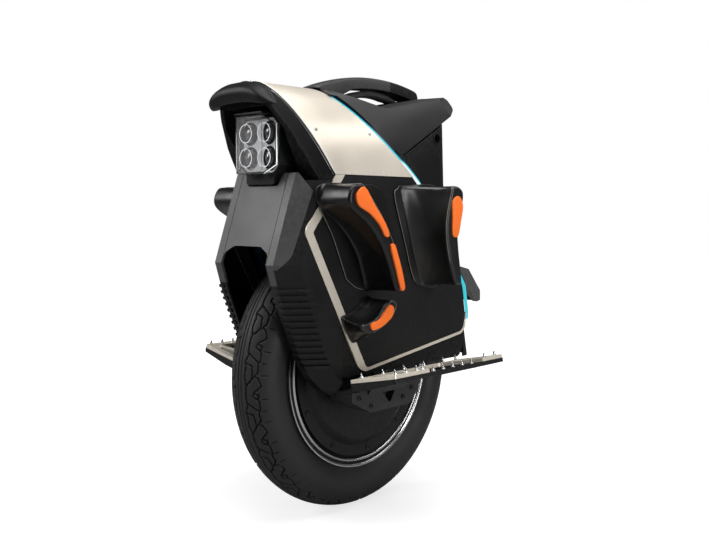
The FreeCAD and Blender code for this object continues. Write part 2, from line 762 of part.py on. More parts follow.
def rear_block():
    body = block_loft(0).common(slab(deck_points(), "xz", -wide, wide))
    body = body.cut(slab(front_zone(STRIP_WIDTH + SEAM), "xz", -wide, wide))
    side = HANDLE_WIDTH / 2 + 5
    front = 18 * u
    rear = -48 * u
    pocket = slab([(rear, -side, 14), (front, -side, 14), (front, side, 14), (rear, side, 14)], "xy",
                  crest_z - 23.6 * c, crest_z + 40)
    hollow = block_loft(4).common(slab(even_inset(deck_points(), 4), "xz", -wide, wide))
    ceiling = crest_z - 27.8 * c
    hollow = hollow.common(slab([(-64.27 * u, panel_top, 0), (front, panel_top, 0), (front, ceiling, 0),
                                 (-64.27 * u, ceiling, 0)], "xz", -wide, wide))
    pin_hole = rod(LEVER_PIN_RADIUS + SEAT_FIT, lever_pin_end(-1), lever_pin_end(1))
    facet = half_space(V(-89.5 * u, 0.94 * tail_half, crest_z - 13.2 * c), V(-0.29, 0.85, 0.44))
    return body.cut(pocket).cut(hollow).cut(pin_hole).cut(button_well()).cut(facet).cut(mirror_y(facet))


def button_spot():
    return V(-80.5 * u, 0, deck_height(-80.5 * u))


def button_well():
    return rod(BUTTON_RADIUS + 0.4, button_spot() - deck_rise() * 14, button_spot() + deck_rise() * 20)


def power_button():
    base = button_spot() - deck_rise() * (14 - BUTTON_TRAVEL - 0.5)
    return rod(BUTTON_RADIUS, base, button_spot() + deck_rise() * (BUTTON_TRAVEL + 0.5))


def rear_plan(grow, z, front, front_half, rear, rear_half):
    corners = [(front, -front_half - grow, 0), (front, front_half + grow, 0),
               (rear - grow, rear_half + grow, 32 + grow),
               (rear - grow, -rear_half - grow, 32 + grow)]
    return flat_face(corners, "xy", z).OuterWire


def rear_loft(grow):
    top = rear_plan(grow, crest_z - 13.9 * c, 0, 0.913 * body_half, -78.8 * u, 0.761 * body_half)
    shelf = rear_plan(grow, panel_top - 8.6 * u, -20 * u, 0.938 * body_half, -79.7 * u, 0.793 * body_half)
    waist = rear_plan(grow, axle_z + 77.1 * u, -35.4 * u, 0.959 * body_half, -92.5 * u, 0.848 * body_half)
    bottom = rear_plan(grow, axle_z, -60 * u, body_half - 1, -105.4 * u, 0.913 * body_half)
    return Part.makeLoft([top, shelf, waist, bottom], True, True)


def rear_cover():
    """Black tail shell behind the light strips, open below over the tyre."""
    shell = rear_loft(0).cut(rear_loft(-CASE_WALL))
    shell = shell.cut(slab(front_zone(STRIP_WIDTH + SEAM), "xz", -wide, wide))
    below = slab([(-wide, axle_z + 2, 0), (wide, axle_z + 2, 0), (wide, crest_z - 20.8 * c, 0),
                  (-wide, crest_z - 20.8 * c, 0)],
                 "xz", -wide, wide)
    block_room = slab(even_inset(deck_points(), -SEAM), "xz", -wide, wide)
    crown = axle_z + 25.71 * u
    arch_mouth = slab([(-notch_half, axle_z - 10, 0), (notch_half, axle_z - 10, 0), (notch_half, crown, 20),
                       (-notch_half, crown, 20)], "yz", -wide, -64.27 * u)
    shell = shell.common(below).cut(block_room).cut(arch_mouth)
    return shell.cut(port_hole())


def port_place():
    """Mouth of the charge port on the tail shell and the way out of it."""
    return V(-63 * u, 0.806 * body_half, crest_z - 47.9 * c), V(-0.08, 1, 0).normalize()


def port_hole():
    spot, out = port_place()
    return rod(PORT_RADIUS + PORT_WALL + SEAT_FIT, spot - out * 20, spot + out * 10)


def charge_port():
    spot, out = port_place()
    floor = spot - out * (PORT_DEPTH + 3)
    body = rod(PORT_RADIUS + PORT_WALL, floor, spot + out * 1.5)
    return body.cut(rod(PORT_RADIUS, spot + out * (1.5 - PORT_DEPTH), spot + out * 10))


def tail_light():
    low = axle_z + 87.8 * u
    high = axle_z + 95.1 * u
    half = body_half / 2
    corners = [(6 - half, low, 5), (half - 6, low, 5), (half, high, 5), (-half, high, 5)]
    zone = slab(corners, "yz", -wide, -51.4 * u)
    return rear_loft(2.5).cut(rear_loft(SEAT_FIT)).common(zone)


def rear_fender():
    """Grey flap behind the tail shell, over the tyre."""
    outer = drawn(axle_z, [(-85.69, 72.84, 0), (-112.25, 66.84, 4.28), (-134.53, 47.99, 2.57),
                           (-135.39, 40.27, 1.71), (-127.68, 39.42, 2.57), (-109.68, 53.13, 0),
                           (-85.69, 58.27, 0)])
    side = slab(outer, "xz", -wide, wide)
    wide_half = 0.652 * body_half
    tip_half = 0.522 * body_half
    plan = slab([(-81.4 * u, -wide_half, 0), (-112.3 * u, -wide_half, 20), (-137.1 * u, -tip_half, 10),
                 (-137.1 * u, tip_half, 10),
                 (-112.3 * u, wide_half, 20), (-81.4 * u, wide_half, 0)], "xy", 0, crest_z)
    under = slab(drawn(axle_z, [(-81.41, 68.55, 0), (-110.54, 63.41, 4.28), (-132.39, 45.42, 0),
                                (-128.53, 25.71, 0),
                                (-81.41, 25.71, 0)]), "xz", -0.478 * body_half, 0.478 * body_half)
    return side.common(plan).cut(under).cut(rear_loft(SEAT_FIT))


def handle_arc(drop):
    """Side curve of the handle, lowered by a drop: two feet and a crown."""
    return [(39.4 * u, crest_z + 3 - drop), (-12.9 * u, crest_z + HANDLE_RISE - drop),
            (-72 * u, crest_z + 0.57 * HANDLE_RISE - drop)]


def bow(points, thickness, width):
    """Bent bar of even thickness through three points, of a width across."""
    (x0, z0), (x1, z1), (x2, z2) = points
    upper = Part.Arc(V(x0, 0, z0), V(x1, 0, z1), V(x2, 0, z2)).toShape()
    lower = Part.Arc(V(x0, 0, z0 - thickness), V(x1, 0, z1 - thickness), V(x2, 0, z2 - thickness)).toShape()
    ends = [Part.makeLine(V(x, 0, z), V(x, 0, z - thickness)) for x, z in ((x0, z0), (x2, z2))]
    face = Part.Face(Part.Wire(Part.__sortEdges__([upper, lower] + ends)))
    face.translate(V(0, -width / 2, 0))
    return face.extrude(V(0, width, 0))


def cap_line():
    return slab([(-42 * u, crest_z - 60, 0), (-38.5 * u, crest_z + 60, 0), (-wide, crest_z + 60, 0),
                 (-wide, crest_z - 60, 0)],
                "xz", -wide, wide)


def handle_bar():
    body = bow(handle_arc(0), HANDLE_THICKNESS, HANDLE_WIDTH)
    edges = [e for e in body.Edges if e.Length > 100]
    seated = body.makeFillet(5, edges).cut(slab(deck_points(), "xz", -wide, wide))
    return seated.cut(arch(-SEAT_FIT, wide, 0, spring_z))


def handle():
    return handle_bar().cut(cap_line())


def handle_end_cap():
    return handle_bar().common(cap_line())


def lever_pin_end(side):
    return V(14.57 * u, side * (HANDLE_WIDTH / 2 + 20), crest_z - 15.3 * c)


def lever_pin():
    return rod(LEVER_PIN_RADIUS, lever_pin_end(-1) + V(0, 1, 0), lever_pin_end(1) - V(0, 1, 0))


def lift_lever():
    """Squeeze bar under the handle, hinged on a pin at its front end."""
    drop = HANDLE_THICKNESS + LEVER_TRAVEL + 1
    half = LEVER_WIDTH / 2
    pivot = lever_pin_end(0)
    points = [(pivot.x - 2, pivot.z + 4), (-18.9 * u, handle_arc(drop)[1][1]),
            (-46.3 * u, handle_arc(drop)[1][1] - 6)]
    hub = rod(LEVER_PIN_RADIUS + 3, pivot - V(0, half, 0), pivot + V(0, half, 0))
    bar = bow(points, LEVER_THICKNESS, LEVER_WIDTH).fuse(hub)
    return bar.cut(rod(LEVER_PIN_RADIUS + RUNNING_FIT, lever_pin_end(-1), lever_pin_end(1)))


# Pads

def pad_loft(base, tip, low, high):
    return Part.makeLoft([flat_face(base, "xz", low).OuterWire, flat_face(tip, "xz", high).OuterWire], True, True)


def front_pad():
    flange = slab(drawn(panel_top, [(69.84, -11.57, 6), (61.7, -3.43, 6), (17.14, -3.43, 17.14),
                                    (-16.28, -52.27, 17.14), (-18.85, -74.55, 4.28),
                                    (25.71, -73.69, 6.86),
                                    (44.56, -65.12, 6.86)]), "xz", body_half + SEAT_FIT, body_half + PAD_FLANGE)
    base = drawn(panel_top, [(68.12, -13.71, 5.14), (62.55, -5.14, 5.14), (42.84, -6, 12.85),
                             (2.57, -64.27, 9.43), (6.86, -74.55, 4.28), (24.85, -74.55, 3.43),
                             (41.13, -39.42, 34.28)])
    tip = drawn(panel_top, [(68.55, -12.85, 4.28), (64.27, -5.57, 5.14), (53.13, -6, 10.28),
                            (12.85, -68.55, 5.14), (17.99, -74.55, 1.71), (23.14, -72.84, 1.71),
                            (44.56, -31.71, 25.71)])
    body = pad_loft(base, tip, body_half + PAD_FLANGE - 0.5, front_pad_out)
    return flange.fuse(body)


def rear_pad():
    flange = slab(drawn(panel_top, [(-4.28, -7.71, 5.14), (-8.57, -3.43, 3.43), (-56.56, -3.43, 5.14),
                                    (-56.56, -74.55, 5.14), (-34.28, -75.41, 6.86),
                                    (-23.14, -68.55, 6.86)]), "xz", body_half + SEAT_FIT, body_half + PAD_FLANGE)
    base = drawn(panel_top, [(-22.28, -4.28, 4.28), (-54.84, -4.28, 5.14), (-54.84, -73.69, 4.28),
                             (-34.28, -73.69, 4.28), (-29.13, -38.56, 42.84)])
    tip = drawn(panel_top, [(-37.7, -4.28, 4.28), (-52.27, -5.14, 6), (-52.27, -72.84, 4.28),
                            (-41.99, -72.84, 2.57), (-31.71, -35.99, 42.84)])
    body = pad_loft(base, tip, body_half + PAD_FLANGE - 0.5, rear_pad_out)
    return flange.fuse(body)


def ankle_level():
    return panel_top - 133.85 * u


def ankle_pad():
    base = drawn(ankle_level(), [(49.7, 41.13, 3.43), (47.99, 31.71, 5.14), (35.99, 22.28, 8.57),
                                 (15.42, 29.13, 8.57), (14.57, 53.13, 5.14), (23.99, 53.98, 3.43),
                                 (31.71, 40.27, 17.14)])
    tip = drawn(ankle_level(), [(46.27, 44.56, 2.57), (45.42, 32.56, 4.28), (32.56, 27.42, 12.85),
                                (8.57, 40.27, 8.57), (6, 52.27, 3.43), (14.57, 53.13, 2.57),
                                (28.28, 40.27, 21.42)])
    return pad_loft(base, tip, body_half + SEAT_FIT, ankle_pad_out)


def pad_inserts():
    outlines = [
        (drawn(panel_top, [(62.13, -11.14, 3), (55.7, -6.86, 3.43), (32.56, -35.99, 2.14),
        (36.85, -37.7, 2.14), (48.84, -23.99, 17.14)]), front_pad_out),
        (drawn(panel_top, [(29.56, -41.99, 1.5), (25.71, -41.99, 1.5), (15.42, -70.27, 1.71),
        (19.71, -73.69, 1.71)]), front_pad_out),
        (drawn(panel_top, [(-38.56, -14.57, 3.43), (-48.84, -13.71, 3.43), (-46.27, -39.42, 2.14),
        (-40.27, -39.42, 2.14)]), rear_pad_out),
        (drawn(ankle_level(), [(36.85, 39.42, 1.71), (34.28, 34.28, 1.71), (23.14, 36.85, 8.57),
        (13.71, 48.84, 1.71), (20.57, 50.56, 1.71), (27.42, 41.13, 8.57)]),
         ankle_pad_out)]
    pieces = []
    for outline, out in outlines:
        piece = slab(outline, "xz", out + SEAT_FIT, out + INSERT_DEPTH)
        pieces += [piece, mirror_y(piece)]
    return pieces


# Frame, wheel well and inside

def frame_plate():
    corners = [(-34.28 * u, panel_top - 4.28 * u, 5.14 * u), (34.28 * u, panel_top - 4.28 * u, 5.14 * u),
               (39.42 * u, axle_z + 81.41 * u, 12.85 * u), (14.57 * u, axle_z + 12.85 * u, 17.14 * u),
               (14.57 * u, axle_z - 17.14 * u, 6.86 * u), (-14.57 * u, axle_z - 17.14 * u, 6.86 * u),
               (-14.57 * u, axle_z + 12.85 * u, 17.14 * u), (-39.42 * u, axle_z + 81.41 * u, 12.85 * u)]
    plate = slab(corners, "xz", frame_inner, frame_outer)
    window = slab([(-22.28 * u, panel_top - 17.14 * u, 5.14 * u),
                   (22.28 * u, panel_top - 17.14 * u, 5.14 * u),
                   (24.85 * u, axle_z + 81.41 * u, 8.57 * u), (6 * u, axle_z + 25.71 * u, 4.28 * u),
                   (-6 * u, axle_z + 25.71 * u, 4.28 * u),
                   (-24.85 * u, axle_z + 81.41 * u, 8.57 * u)], "xz", frame_inner - 1, frame_outer + 1)
    bore = rod(AXLE_RADIUS + SEAT_FIT, V(0, 0, axle_z), V(0, wide, axle_z))
    return plate.cut(window).cut(bore)


def wheel_arch():
    """Liner over the tyre with a short skirt at each side and bosses against the frame plates."""
    inner = TYRE_RADIUS + WELL_GAP
    outer = inner + WELL_WALL
    skirt = inner - 24
    half = well_half
    wall = half - WELL_WALL
    full = about_axle(chain([(-half, outer), (half, outer), (half, skirt), (wall, skirt), (wall, inner),
                             (-wall, inner),
                             (-wall, skirt), (-half, skirt)]))
    reach = wide
    sector = slab([(0, axle_z, 0), (reach, axle_z + reach * 1.3, 0), (reach, axle_z + 2 * reach, 0),
                   (-reach, axle_z + 2 * reach, 0),
                   (-reach * 1.2, axle_z + reach * 0.56, 0)], "xz", -wide, wide)
    bosses = []
    for x in (-31.7 * u, 31.7 * u):
        boss = rod(WELL_BOSS, V(x, wall, axle_z + 94.3 * u), V(x, frame_inner - SEAT_FIT, axle_z + 94.3 * u))
        bosses += [boss, mirror_y(boss)]
    return full.common(sector).fuse(bosses)


def pedal_hanger():
    """Forged bracket under the body that holds the axle end and the pedal hinge."""
    low = axle_z - 23.1 * u
    top = hinge_z - KNUCKLE_RADIUS - 1.5
    side = [(36.8 * p, top, 0), (36.8 * p, top - 14, 6), (21.3 * p, low, 6), (-14 * p, low, 6),
            (-22.8 * p, top - 12, 6),
            (-22.8 * p, top, 0)]
    body = slab(side, "xz", frame_outer, hanger_outer)
    vee = slab([(13.2 * p, top + 1, 0), (4.4 * p, low + 8, 4),
                (-2.2 * p, top + 1, 0)], "xz", hanger_outer - 14, hanger_outer + 1)
    eye = 2.8 * AXLE_RADIUS
    boss = rod(eye, V(0, frame_outer, axle_z), V(0, frame_outer + 8, axle_z))
    neck = slab([(-eye, axle_z, 0), (eye, axle_z, 0), (eye + 6, top, 0),
                 (-eye - 6, top, 0)], "xz", frame_outer, frame_outer + 8)
    knuckle = rod(KNUCKLE_RADIUS, *[V(x, hinge_y, hinge_z) for x in hanger_knuckle()])
    arm = slab([(hinge_y - KNUCKLE_RADIUS, hinge_z, 0), (hinge_y + KNUCKLE_RADIUS, hinge_z, 0),
                (hanger_outer, top - 8, 0), (hanger_outer - 24, top - 8, 0)], "yz", *hanger_knuckle())
    body = body.cut(vee).fuse([boss, neck, knuckle, arm])
    body = body.cut(rod(AXLE_RADIUS + SEAT_FIT, V(0, 0, axle_z), V(0, wide, axle_z)))
    body = body.cut(rod(PIN_RADIUS + RUNNING_FIT, V(-wide, hinge_y, hinge_z), V(wide, hinge_y, hinge_z)))
    return body.removeSplitter()


def hanger_knuckle():
    return -9.56 * p, 23.53 * p


def hanger_bolts():
    heads = []
    top = hinge_z - KNUCKLE_RADIUS - 1.5
    for x, drop in ((30.9, 10), (20.6, 26), (-7.4, 22), (-15.4, 10)):
        base = V(x * p, hanger_outer, top - drop)
        head = hex_peg(BOLT_HEAD_RADIUS, BOLT_HEAD_RADIUS, base, base + V(0, BOLT_HEAD_HEIGHT, 0))
        heads += [head, mirror_y(head)]
    return heads


def pedal_pins():
    low, high = hanger_knuckle()
    pin = rod(PIN_RADIUS, V(low - 11 * p, hinge_y, hinge_z), V(high + 11 * p, hinge_y, hinge_z))
    return [pin, mirror_y(pin)]


def unfold(shape):
    """Carry a pedal piece from its own flat frame to the hinge, tilted as it stands."""
    placed = shape.copy()
    placed.rotate(V(0, 0, 0), V(1, 0, 0), PEDAL_TILT)
    placed.translate(V(0, hinge_y, hinge_z))
    return placed


def pedal_outline():
    """Plan of the pedal from above: chamfered outer corners."""
    return [(pedal_front, PEDAL_INNER, 6), (pedal_front, PEDAL_OUTER, 5), (pedal_rear, PEDAL_OUTER, 5),
            (pedal_rear, PEDAL_INNER, 6)]


def base_top():
    return 8.0


def pedal_base():
    """Tapered pedal body with a hollow under side and two hinge knuckles."""
    top = base_top()
    side = slab([(PEDAL_INNER - 2, -4.5, 0), (PEDAL_INNER - 2, top, 0), (PEDAL_OUTER + 2, top, 0),
                 (PEDAL_OUTER + 2, top - PEDAL_EDGE, 0),
                 (PEDAL_INNER + 30, -4.5, 0)], "yz", pedal_rear - 1, pedal_front + 1)
    body = side.common(slab(pedal_outline(), "xy", -20, 20))
    middle = (pedal_front + pedal_rear) / 2
    window = slab([(middle + 40, PEDAL_INNER + 22, 6), (middle + 58, PEDAL_OUTER - 16, 6),
                   (middle - 58, PEDAL_OUTER - 16, 6),
                   (middle - 40, PEDAL_INNER + 22, 6)], "xy", -20, 20)
    body = body.cut(window)
    low, high = hanger_knuckle()
    gap = HINGE_SIDE_GAP
    for start, end in ((low - gap - 28, low - gap), (high + gap, high + gap + 28)):
        knuckle = rod(KNUCKLE_RADIUS, V(start, 0, 0), V(end, 0, 0))
        arm = slab([(0, -4.5, 0), (PEDAL_INNER, -4.5, 0), (PEDAL_INNER, top, 0), (0, KNUCKLE_RADIUS - 1, 0)],
                   "yz", start, end)
        body = body.fuse([knuckle, arm])
    body = body.cut(rod(PIN_RADIUS + RUNNING_FIT, V(-wide, 0, 0), V(wide, 0, 0)))
    return unfold(body.removeSplitter())


def pedal_deck():
    """Top plate cut into a truss: full width at both ends, a rail along the inside."""
    low = base_top()
    plate = slab(even_inset(pedal_outline(), 0.8), "xy", low, low + PEDAL_DECK)
    inner = PEDAL_INNER + 13
    outer = PEDAL_OUTER - 12
    front_windows = [[(43.38 * p, inner, 3), (43.38 * p, outer, 3), (33.82 * p, inner, 2)],
                     [(38.24 * p, outer, 2), (22.79 * p, outer, 3), (29.41 * p, inner, 3)]]
    rear_windows = [[(-47.79 * p, inner, 3), (-47.79 * p, outer, 3), (-38.24 * p, inner, 2)],
                    [(-42.65 * p, outer, 2), (-33.82 * p, outer, 3), (-36.03 * p, inner, 3)]]
    for corners in front_windows + rear_windows:
        plate = plate.cut(slab(corners, "xy", low - 1, low + 20))
    opening = slab([(19.12 * p, PEDAL_OUTER + 5, 0), (12.5 * p, inner, 8), (-27.21 * p, inner, 8),
                    (-30.88 * p, PEDAL_OUTER + 5, 0)], "xy", low - 1, low + 20)
    return unfold(plate.cut(opening))


def spike_spots():
    """Spikes on the deck, then spikes on the bare base edge."""
    inner = PEDAL_INNER + 6.5
    outer = PEDAL_OUTER - 6
    deck = [(x * p, outer) for x in (44.9, 36, 27.2, 22.1, -35.3, -45.6)]
    deck += [(x * p, inner) for x in (39.7, 22.1, 3.7, -14.7, -33.1, -45.6)]
    base = [(x * p, outer) for x in (13.2, 4.4, -4.4, -13.2, -22.1)]
    return [(x, y, base_top() + PEDAL_DECK) for x, y in deck] + [(x, y, base_top()) for x, y in base]


def pedal_spikes():
    spikes = []
    for x, y, z in spike_spots():
        spikes.append(unfold(hex_peg(SPIKE_RADIUS, 0.8, V(x, y, z), V(x, y, z + SPIKE_HEIGHT))))
    return spikes


def battery_packs():
    gap = CASE_WALL + 2
    box = [(37.7 * u, panel_top - 5.14 * u, 3.43 * u), (64.27 * u, panel_top - 35.13 * u, 3.43 * u),
           (42.84 * u, axle_z + 41.99 * u, 3.43 * u), (42.84 * u, axle_z + 17.99 * u, 3.43 * u),
           (-77.12 * u, axle_z + 17.99 * u, 3.43 * u), (-80.55 * u, axle_z + 51.41 * u, 8.57 * u),
           (-35.99 * u, panel_top - 5.14 * u, 3.43 * u)]
    pack = slab(even_inset(box, gap), "xz", frame_outer + SEAT_FIT, case_outer - CASE_WALL - SEAT_FIT)
    pack = pack.common(slab(front_zone(-SEAM - gap), "xz", 0, wide))
    return [pack, mirror_y(pack)]


def board_height():
    return tyre_top + WELL_GAP + WELL_WALL


def heat_sink():
    base_low = board_height() + SEAT_FIT
    half = frame_inner - 7
    reach = 30 * u
    base = slab([(-reach, -half, 4), (reach, -half, 4), (reach, half, 4),
                 (-reach, half, 4)], "xy", base_low + 8, base_low + 14)
    fins = []
    for i in range(9):
        y = (i - 4) * half / 4.4
        fins.append(slab([(4 - reach, y - 1.5, 0), (reach - 4, y - 1.5, 0), (reach - 4, y + 1.5, 0),
                          (4 - reach, y + 1.5, 0)],
                         "xy", base_low + 14, base_low + 34))
    foot = slab([(-5, -half, 0), (5, -half, 0), (5, half, 0), (-5, half, 0)], "xy", base_low, base_low + 8)
    return base.fuse(fins + [foot])


def controller_board():
    low = board_height() + SEAT_FIT + 34
    half = frame_inner - 11
    reach = 28.3 * u
    board = slab([(-reach, -half, 3), (reach, -half, 3), (reach, half, 3),
                  (-reach, half, 3)], "xy", low, low + 2)
    row = half - 14
    capacitors = [rod(9, V(x * u, row, low + 2), V(x * u, row, low + 30)) for x in (-18.9, -8.6, 1.7, 12)]
    bank = reach - 16
    switches = slab([(-bank, 8 - half, 0), (bank, 8 - half, 0), (bank, 16 - half, 0),
                     (-bank, 16 - half, 0)], "xy", low + 2, low + 18)
    return board.fuse(capacitors + [switches])


def left_and_right(name, build):
    left = build()
    return {name + "_left": left, name + "_right": mirror_y(left)}


def all_pieces():
    shell = skin()
    pieces = {"tyre": tyre(), "rim": rim(), "magnet_ring": magnet_ring(), "stator": stator(), "axle": axle(),
              "motor_covers": [motor_cover(), mirror_y(motor_cover())], "motor_cover_bolts": motor_cover_bolts(),
              "wheel_bearings": wheel_bearings(), "valve_stem": valve_stem(), "axle_nuts": axle_nuts()}
    pieces.update(left_and_right("side_trim", lambda: side_trim(shell)))
    pieces.update(left_and_right("side_panel", lambda: side_panel(shell)))
    strip = light_strip(shell)
    pieces["light_strips"] = [strip, mirror_y(strip)]
    pieces["arch_band"] = arch_band(shell)
    pieces["band_screws"] = band_screws()
    pieces.update(left_and_right("case", case))
    pieces["front_cover"] = front_cover()
    pieces.update(left_and_right("leg_cover", leg_cover))
    pieces["headlight_cowl"] = headlight_cowl()
    pieces["visor"] = visor()
    pieces["headlight_lens"] = headlight_lens()
    pieces["headlight_housing"] = headlight_housing()
    pieces["headlight_projectors"] = headlight_projectors()
    pieces["rear_block"] = rear_block()
    pieces["power_button"] = power_button()
    pieces["rear_cover"] = rear_cover()
    pieces["charge_port"] = charge_port()
    pieces["tail_light"] = tail_light()
    pieces["rear_fender"] = rear_fender()
    pieces["handle"] = handle()
    pieces["handle_end_cap"] = handle_end_cap()
    pieces["lift_lever"] = lift_lever()
    pieces["lever_pin"] = lever_pin()
    for name, build in (("front_pad", front_pad), ("rear_pad", rear_pad), ("ankle_pad", ankle_pad),
                        ("frame", frame_plate), ("pedal_hanger", pedal_hanger), ("pedal_base", pedal_base),
                        ("pedal_deck", pedal_deck)):
        pieces.update(left_and_right(name, build))
    pieces["pad_inserts"] = pad_inserts()
    pieces["wheel_arch"] = wheel_arch()
    pieces["hanger_bolts"] = hanger_bolts()
    pieces["pedal_pins"] = pedal_pins()
    spikes = pedal_spikes()
    pieces["pedal_spikes_left"] = spikes
    pieces["pedal_spikes_right"] = [mirror_y(s) for s in spikes]
    pieces["battery_packs"] = battery_packs()
    pieces["heat_sink"] = heat_sink()
    pieces["controller_board"] = controller_board()
    return pieces


def main():
    os.makedirs("parts", exist_ok=True)
    for name, shape in all_pieces().items():
        whole = Part.makeCompound(shape) if isinstance(shape, list) else shape
        solids = whole.Solids
        volume = round(sum(s.Volume for s in solids))
        print(name, "solids", len(solids), "volume", volume, "valid", whole.isValid())
        if len(solids) == 1:
            whole = solids[0]
        else:
            whole = Part.makeCompound(solids)
        whole.exportStep("parts/" + name + ".step")


main()
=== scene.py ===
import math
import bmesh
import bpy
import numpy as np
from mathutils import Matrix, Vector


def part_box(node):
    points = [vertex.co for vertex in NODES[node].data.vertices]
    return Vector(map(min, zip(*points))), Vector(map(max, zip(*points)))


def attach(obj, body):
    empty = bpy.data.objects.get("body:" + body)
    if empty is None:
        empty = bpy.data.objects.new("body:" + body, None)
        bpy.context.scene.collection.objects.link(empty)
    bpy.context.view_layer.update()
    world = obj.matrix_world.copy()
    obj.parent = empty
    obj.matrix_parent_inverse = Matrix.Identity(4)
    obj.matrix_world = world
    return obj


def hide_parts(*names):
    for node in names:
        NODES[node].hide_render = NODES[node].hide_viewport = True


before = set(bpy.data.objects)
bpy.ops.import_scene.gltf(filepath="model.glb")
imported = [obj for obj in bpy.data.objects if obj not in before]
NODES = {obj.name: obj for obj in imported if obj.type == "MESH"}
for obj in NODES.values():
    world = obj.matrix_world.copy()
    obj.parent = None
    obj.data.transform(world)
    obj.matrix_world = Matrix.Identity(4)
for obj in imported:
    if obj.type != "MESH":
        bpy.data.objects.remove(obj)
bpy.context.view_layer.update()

# %% [markdown]
# # Electric unicycle
# The machine is one wheel with a hub motor inside it, a body shell arched over that wheel, two folding
# pedals and soft pads for the legs. The CAD frame already holds every solid piece and every joint, so this
# lesson only adds what the eye needs: rounded edges, finishes, tread, stuffed pads, lamp details, light.

MM = 0.001
TYRE_LOW, TYRE_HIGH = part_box("tyre")
AXLE = (TYRE_LOW[2] + TYRE_HIGH[2]) / 2 / MM
TRIM_STEP = 5.4
PANEL_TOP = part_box("side_trim_left")[1][2] / MM - TRIM_STEP
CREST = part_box("arch_band")[1][2] / MM
BODY_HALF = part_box("side_panel_left")[1][1] / MM
print("axle", round(AXLE, 1), "panel top", round(PANEL_TOP, 1), "crest", round(CREST, 1))

# %% [markdown]
# ## The viewpoint
# The photographer stood ahead of the machine and to its left, a little above the axle, with a normal lens.
# The lens and the standpoint were found by lining up known corners of the machine with the picture, so the
# perspective of the wheel and of the pedals agrees with it.

# %% Camera
EYE = Vector((1.087, 1.054, 0.495))
AIM = Vector((-0.0176, 0.0, 0.3841))
LENS_MM, SENSOR_MM = 45.76, 36.0
camera_data = bpy.data.cameras.new("camera")
camera_data.lens = LENS_MM
camera_data.sensor_width = SENSOR_MM
camera = bpy.data.objects.new("camera", camera_data)
camera.location = EYE
camera.rotation_mode = "QUATERNION"
camera.rotation_quaternion = (AIM - EYE).to_track_quat("-Z", "Y")
bpy.context.scene.collection.objects.link(camera)
bpy.context.scene.camera = camera
bpy.context.scene.view_settings.view_transform = "Standard"
print("camera", tuple(round(c, 3) for c in EYE), "lens", LENS_MM)

# %% [markdown]
# ## Lights
# The picture is a bright product shot: one wide light overhead, one at the front, a tall one at the side and
# a narrow strip behind, which draws the pale bar across the champagne band. The world gives only a little
# light, because the black panels of the real machine read as black, with a soft sheen. To the camera the
# world is white.

# %% World and lights
WORLD_TINT, WORLD_LIGHT = (0.97, 0.98, 1.0, 1), 0.12
WHITE = (1, 1, 1, 1)


def add(tree, kind, **values):
    """Node with some attributes (by name) set."""
    node = tree.nodes.new(kind)
    for key, value in values.items():
        setattr(node, key, value)
    return node


def area_light(name, place, aim, size, power):
    """Rectangular light that looks from one place at another."""
    lamp = bpy.data.lights.new(name, "AREA")
    lamp.shape = "RECTANGLE"
    lamp.size, lamp.size_y = size
    lamp.energy = power
    obj = bpy.data.objects.new(name, lamp)
    obj.location = place
    obj.rotation_mode = "QUATERNION"
    obj.rotation_quaternion = (Vector(aim) - Vector(place)).to_track_quat("-Z", "Y")
    bpy.context.scene.collection.objects.link(obj)


world = bpy.data.worlds.new("studio")
bpy.context.scene.world = world
world.use_nodes = True
tree = world.node_tree
tree.nodes.clear()
choose = add(tree, "ShaderNodeMixShader")
tree.links.new(add(tree, "ShaderNodeLightPath").outputs["Is Camera Ray"], choose.inputs["Fac"])
for socket, colour, strength in ((1, WORLD_TINT, WORLD_LIGHT), (2, WHITE, 1.0)):
    sky = add(tree, "ShaderNodeBackground")
    sky.inputs["Color"].default_value = colour
    sky.inputs["Strength"].default_value = strength
    tree.links.new(sky.outputs[0], choose.inputs[socket])
tree.links.new(choose.outputs[0], add(tree, "ShaderNodeOutputWorld").inputs["Surface"])
area_light("overhead", (0.1, 0.5, 2.3), (0, 0, 0.4), (2.4, 1.6), 60)
area_light("front", (2.0, -1.8, 1.7), (0, 0, 0.45), (1.2, 1.4), 48)
area_light("side", (-0.3, 2.7, 0.85), (0, 0, 0.42), (0.5, 1.5), 27)
area_light("strip", (-1.75, 1.25, 1.95), (0.05, 0.06, 0.6), (2.6, 0.3), 8)

# %% [markdown]
# ## Floor
# The machine stands on a plain white sweep. A floor that is lit like the rest would come out grey and throw
# light up at the black body. So its paint is a middle grey that takes the shadow of the tyre, and a glow
# that only the camera sees lifts it to white, fully so at some distance from the wheel.

# %% Floor
FLOOR_HALF, FLOOR_GREY, FLOOR_ROUGH = 8.0, 0.42, 0.9
GLOW_FROM, GLOW_TO = (0.3, 0.72), (1.4, 1.0)


def object_point(tree):
    """Place on the surface, in the object's own space, as a socket."""
    return add(tree, "ShaderNodeTexCoord").outputs["Object"]


def remap(tree, source, low, high, to_low=0.0, to_high=1.0):
    """Map Range node from a source socket; gives its result socket."""
    node = add(tree, "ShaderNodeMapRange")
    for key, value in (("From Min", low), ("From Max", high), ("To Min", to_low), ("To Max", to_high)):
        node.inputs[key].default_value = value
    tree.links.new(source, node.inputs["Value"])
    return node.outputs["Result"]


def times(tree, first, second):
    """Product of two sockets, or of a socket and a number."""
    node = add(tree, "ShaderNodeMath", operation="MULTIPLY")
    for socket, source in zip(node.inputs, (first, second)):
        if isinstance(source, (int, float)):
            socket.default_value = source
        else:
            tree.links.new(source, socket)
    return node.outputs[0]


